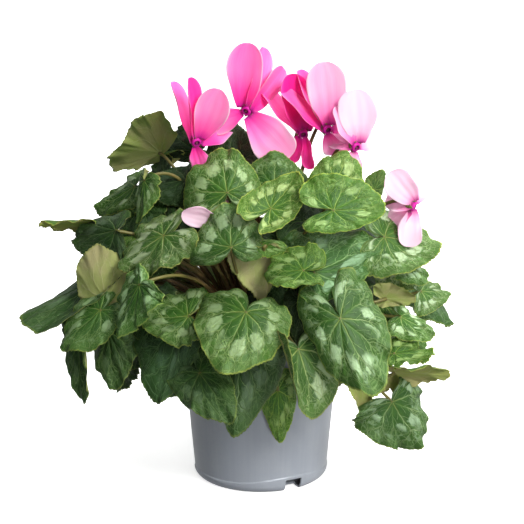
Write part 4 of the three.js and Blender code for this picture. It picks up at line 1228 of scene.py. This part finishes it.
def drain_cutter(angle):
    """A notch through the foot of the pot: wide below, with rounded shoulders."""
    half, bend = DRAIN_WIDTH / 2, 1.1
    high = DRAIN_HEIGHT - bend
    profile = [(-half - 0.4, -3.0), (half + 0.4, -3.0)]
    profile += rounded(half - bend, high, bend, 0, math.pi / 2, 6)
    profile += rounded(bend - half, high, bend, math.pi / 2, math.pi, 6)
    out = np.array([math.cos(angle), math.sin(angle), 0])
    side = np.array([-math.sin(angle), math.cos(angle), 0])
    count = len(profile)
    points = [out * reach + side * x + np.array([0, 0, z])
              for reach in (DRAIN_INNER, DRAIN_OUTER) for x, z in profile]
    mesh = bpy.data.meshes.new("cutter")
    sides = [(k, (k + 1) % count, (k + 1) % count + count, k + count) for k in range(count)]
    faces = [tuple(range(count))[::-1], tuple(range(count, 2 * count))] + sides
    mesh.from_pydata([Vector(p) * MM for p in points], [], faces)
    made = placed("cutter", mesh)
    flip_if_needed(made)
    return made


def soften(made, width):
    """A small bevel on sharp edges, as a mould leaves them."""
    tool = made.modifiers.new("edge", "BEVEL")
    tool.width = width * MM
    tool.segments = 2
    tool.limit_method = "ANGLE"
    tool.angle_limit = math.radians(50)
    tool.harden_normals = False
    apply_tools(made)
    made.data.shade_smooth()


def noise_value(place, scale, seed=0.0):
    return noise.fractal(Vector(place) * scale + Vector((seed, seed, seed)), 1.0, 2.0, 4)


def soil_piece(material):
    """A granular peat surface inside the wall, dipping to the wall and risen at the tuber."""
    sides, rings = 180, 60
    edge = wall_radius(SOIL_TOP) - WALL - SOIL_GAP
    points = [(0.0, 0.0, SOIL_TOP)]
    for share in np.arange(1, rings + 1) / rings:
        mound = SOIL_MOUND * math.cos(share * math.pi / 2)
        for a in circle(sides):
            x, y = edge * share * math.cos(a), edge * share * math.sin(a)
            lumps = 1.6 * noise_value((x, y, 0), 0.16) + 0.9 * noise_value((x, y, 9), 0.55)
            points.append((x, y, SOIL_TOP - 3 + mound + lumps))
    points += turned(wall((84, 40, SOIL_CHAMFER), WALL + SOIL_GAP) + [(37.0, 3.4)], sides)
    points.append((0.0, 0.0, 3.4))
    return turned_piece("soil_body", points, sides, material)


def tuber_piece(material):
    """A flattened corky ball, knobbly at the crown."""
    rings, sides = 60, 120
    points = [(0, 0, TUBER_MIDDLE - TUBER_HALF_HEIGHT)]
    for ring in range(1, rings):
        polar = math.pi * ring / rings
        for a in circle(sides):
            x, y, z = (math.sin(polar) * math.cos(a), math.sin(polar) * math.sin(a),
                       -math.cos(polar))
            swell = (1 + 0.035 * noise_value((x, y, z), 2.2, 3.0)
                     + 0.018 * noise_value((x, y, z), 9.0, 5.0))
            points.append((x * TUBER_RADIUS * swell, y * TUBER_RADIUS * swell,
                           TUBER_MIDDLE + z * TUBER_HALF_HEIGHT * swell))
    points.append((0, 0, TUBER_MIDDLE + TUBER_HALF_HEIGHT))
    return turned_piece("tuber_body", points, sides, material)


def filling_leaves(taken):
    """Leaves that fill the inside and the back of the canopy, clear of those already there."""
    rng = np.random.default_rng(20)
    found = []
    shells = [  # centre, radii, lowest and highest place, how far apart, size, facing the back only
        ((-10, -2, 132), (90, 58, 98), (-0.25, 0.90), 23, 30, False),
        ((-8, 0, 128), (112, 92, 96), (-0.35, 0.95), 36, 38, True),
    ]
    for centre, radii, (low, high), apart, size, back in shells:
        for k in range(FILL_TRIES):
            level = low + (high - low) * (k + 0.5) / FILL_TRIES
            turn = k * GOLDEN_TURN + 0.3 * rng.random()
            flat = math.sqrt(1 - level * level)
            way = np.array([math.sin(turn) * flat, -math.cos(turn) * flat, level])
            way = np.sign(way) * np.abs(way)**0.8
            place = np.array(centre) + way * radii
            vary = rng.random(8)
            if back and way[1] < 0.18:
                continue
            if np.linalg.norm(place - OPEN_PLACE) < OPEN_REACH:
                continue
            if place[2] < RIM_CLEAR_HEIGHT and math.hypot(place[0], place[1]) < RIM_CLEAR_RADIUS:
                continue
            gaps = [np.linalg.norm(place - other["place"]) for other in taken + found]
            if min(gaps) < apart:
                continue
            az = math.degrees(math.atan2(way[0], -way[1])) + 30 * (vary[0] - 0.5)
            el = 25 + 35 * level + 22 * (vary[1] - 0.5)
            grow = size * (0.85 + 0.3 * vary[2])
            # The leaves inside the canopy take the deep kind, whose darkness is painted shade.
            tint = ("mid", "dark", "lime", "silver")[int(4 * vary[6])] if back else "deep"
            found.append(leaf(place, (az, el, 50 * (vary[3] - 0.5)),
                              (grow * 1.15, grow * 0.85, grow * 0.85, grow * 0.42),
                              (30 + 30 * vary[4], 30 + 30 * vary[5], 15, 15), 1.8, tint))
    return found


def whole(made, slot, *nodes):
    """A piece that stands still with the plant, in the place of CAD nodes; its slot is not used."""
    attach(made, "root")
    if nodes:
        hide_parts(*nodes)


# ---- The plant ----------------------------------------------------------------------------------

def build_plant():
    blade_looks = leaf_upper(), leaf_under(), stem_material()
    stems = []
    leaves = LEAVES + SMALL_LEAVES
    leaves = leaves + filling_leaves(leaves)
    for one in leaves:
        _, tip, normal = leaf_axes(one["facing"])
        stems.append(stem(one["place"] - 0.2 * normal, unit(0.8 * normal + 0.6 * tip),
                          PETIOLE_BEND, PETIOLE_RADIUS))
    for one in FLOWERS:
        mouth = direction(*one["mouth"])
        end = one["base"] - mouth * (CUP_DEPTH / 2 + 0.3 + CALYX_LENGTH - 1)
        stems.append(stem(end, unit(mouth + np.array([0, 0, -0.4])), STALK_BEND, STALK_RADIUS))
    part_stems(stems)
    for index, (one, held) in enumerate(zip(leaves, stems)):
        number = index + 1
        name, nodes = f"blade_{number:02d}", [f"leaf_{number:02d}"]
        if number > len(LEAVES):
            name, nodes = f"more_leaf_{number - len(LEAVES):02d}", []
        fine = index < len(LEAVES + SMALL_LEAVES)
        whole(leaf_piece(name, one, index, held["controls"], blade_looks, fine), "leaf", *nodes)
    bloom_looks = petal_material(), throat_material(), anther_material()
    stalk_looks = blade_looks[2], calyx_material()
    for number, one in enumerate(FLOWERS, 1):
        mouth = direction(*one["mouth"])
        controls = stems[len(leaves) + number - 1]["controls"]
        whole(corolla_piece(number, one, mouth, bloom_looks), "petal",
              f"flower_{number}_corolla")
        whole(stalk_piece(number, one, mouth, controls, stalk_looks), "flower_stalk",
              f"flower_{number}_stalk")


def build_pot():
    whole(pot_piece(pot_material()), "pot_plastic", "pot")
    whole(soil_piece(soil_material()), "potting_soil", "potting_soil")
    whole(tuber_piece(tuber_material()), "tuber_skin", "tuber")


# ---- Studio -------------------------------------------------------------------------------------

def build_world():
    """Soft surrounding light, stronger from the right, from behind and from above."""
    s = Shader("studio", "worlds")
    strength = WORLD_LOW
    for part, (dark, amount) in zip(s.parts(s.place("Generated")), WORLD_SIDES):
        strength = s.step(part, dark, 1.0) * amount + strength
    light = s.value(0, "ShaderNodeBackground", {"Color": (1.0, 1.0, 1.0), "Strength": strength})
    bpy.context.scene.world = s.end(light, "ShaderNodeOutputWorld")


def studio_white():
    s = Shader("studio_white")
    place = s.place()
    x, y, _ = s.parts(place)
    colour = s.mix(s.noise(place, 1.5), (0.90, 0.90, 0.90), (0.93, 0.93, 0.93))
    away = s.math("SQRT", x * x + y * y)
    surface = s.value(0, "ShaderNodeBsdfDiffuse", {"Color": colour})
    glow = FLOOR_GLOW + s.step(away, 0.3, 1.2) * WALL_GLOW
    light = s.value(0, "ShaderNodeEmission", {"Strength": glow})
    return s.end(s.value(0, "ShaderNodeAddShader", {0: surface, 1: light}))


def build_sweep():
    """A floor that rises round the plant, and stays white whatever the lamps do."""
    sides = 96
    profile = [(20, 0), (500, 0), (1200, 0), (2200, 0)]
    profile += rounded(2200, 800, 800, 0.1 - math.pi / 2, 0, 14) + [(3000, 5000)]
    points = turned(profile, sides)
    sheet = Sheet()
    faces = grid_faces(len(profile), sides, around=True)
    sheet.add(points, faces, 0, np.zeros((len(points), 2)))
    sheet.span(np.arange(sides)[None], 0, np.zeros((1, sides, 2)))
    sweep = sheet.build("sweep", [studio_white()], "skin")
    # The plant is lit by the lamps and by the surroundings alone.
    sweep.visible_diffuse = False
    sweep.visible_glossy = False
    sweep.visible_shadow = False


def lamp(name, place, target, size, power, colour=(1.0, 1.0, 1.0), spread=180):
    data = bpy.data.lights.new(name, "AREA")
    data.shape = "DISK"
    data.size = size
    data.energy = power
    data.color = colour
    data.spread = math.radians(spread)
    made = placed(name, data)
    made.location = place
    made.rotation_euler = (Vector(target) - Vector(place)).to_track_quat("-Z", "Y").to_euler()


def build_studio():
    build_sweep()
    middle = (0.0, 0.0, 0.17)
    lamp("key", (0.70, -1.10, 1.10), middle, 0.6, 31, (1.0, 0.985, 0.96))
    lamp("fill", (-1.3, -1.1, 0.9), middle, 1.2, 1.0, (0.95, 0.98, 1.0))
    lamp("low", (0.30, -1.55, 0.20), (0.0, 0.0, 0.02), 0.25, 0.12, spread=16)
    lamp("back", (0.75, 0.35, 1.45), (0.0, 0.0, 0.2), 0.8, 18)
    build_world()
    camera = placed("camera", bpy.data.cameras.new("camera"))
    camera.location = CAMERA_PLACE
    camera.rotation_euler = (math.radians(90 - CAMERA_DIP), 0.0, 0.0)
    camera.data.lens = CAMERA_LENS
    camera.data.sensor_width = 36
    camera.data.clip_start = 0.05
    scene = bpy.context.scene
    scene.camera = camera
    scene.view_settings.view_transform = "Standard"
    scene.view_settings.look = "None"
    scene.view_settings.exposure = 0.0


build_plant()
build_pot()
build_studio()
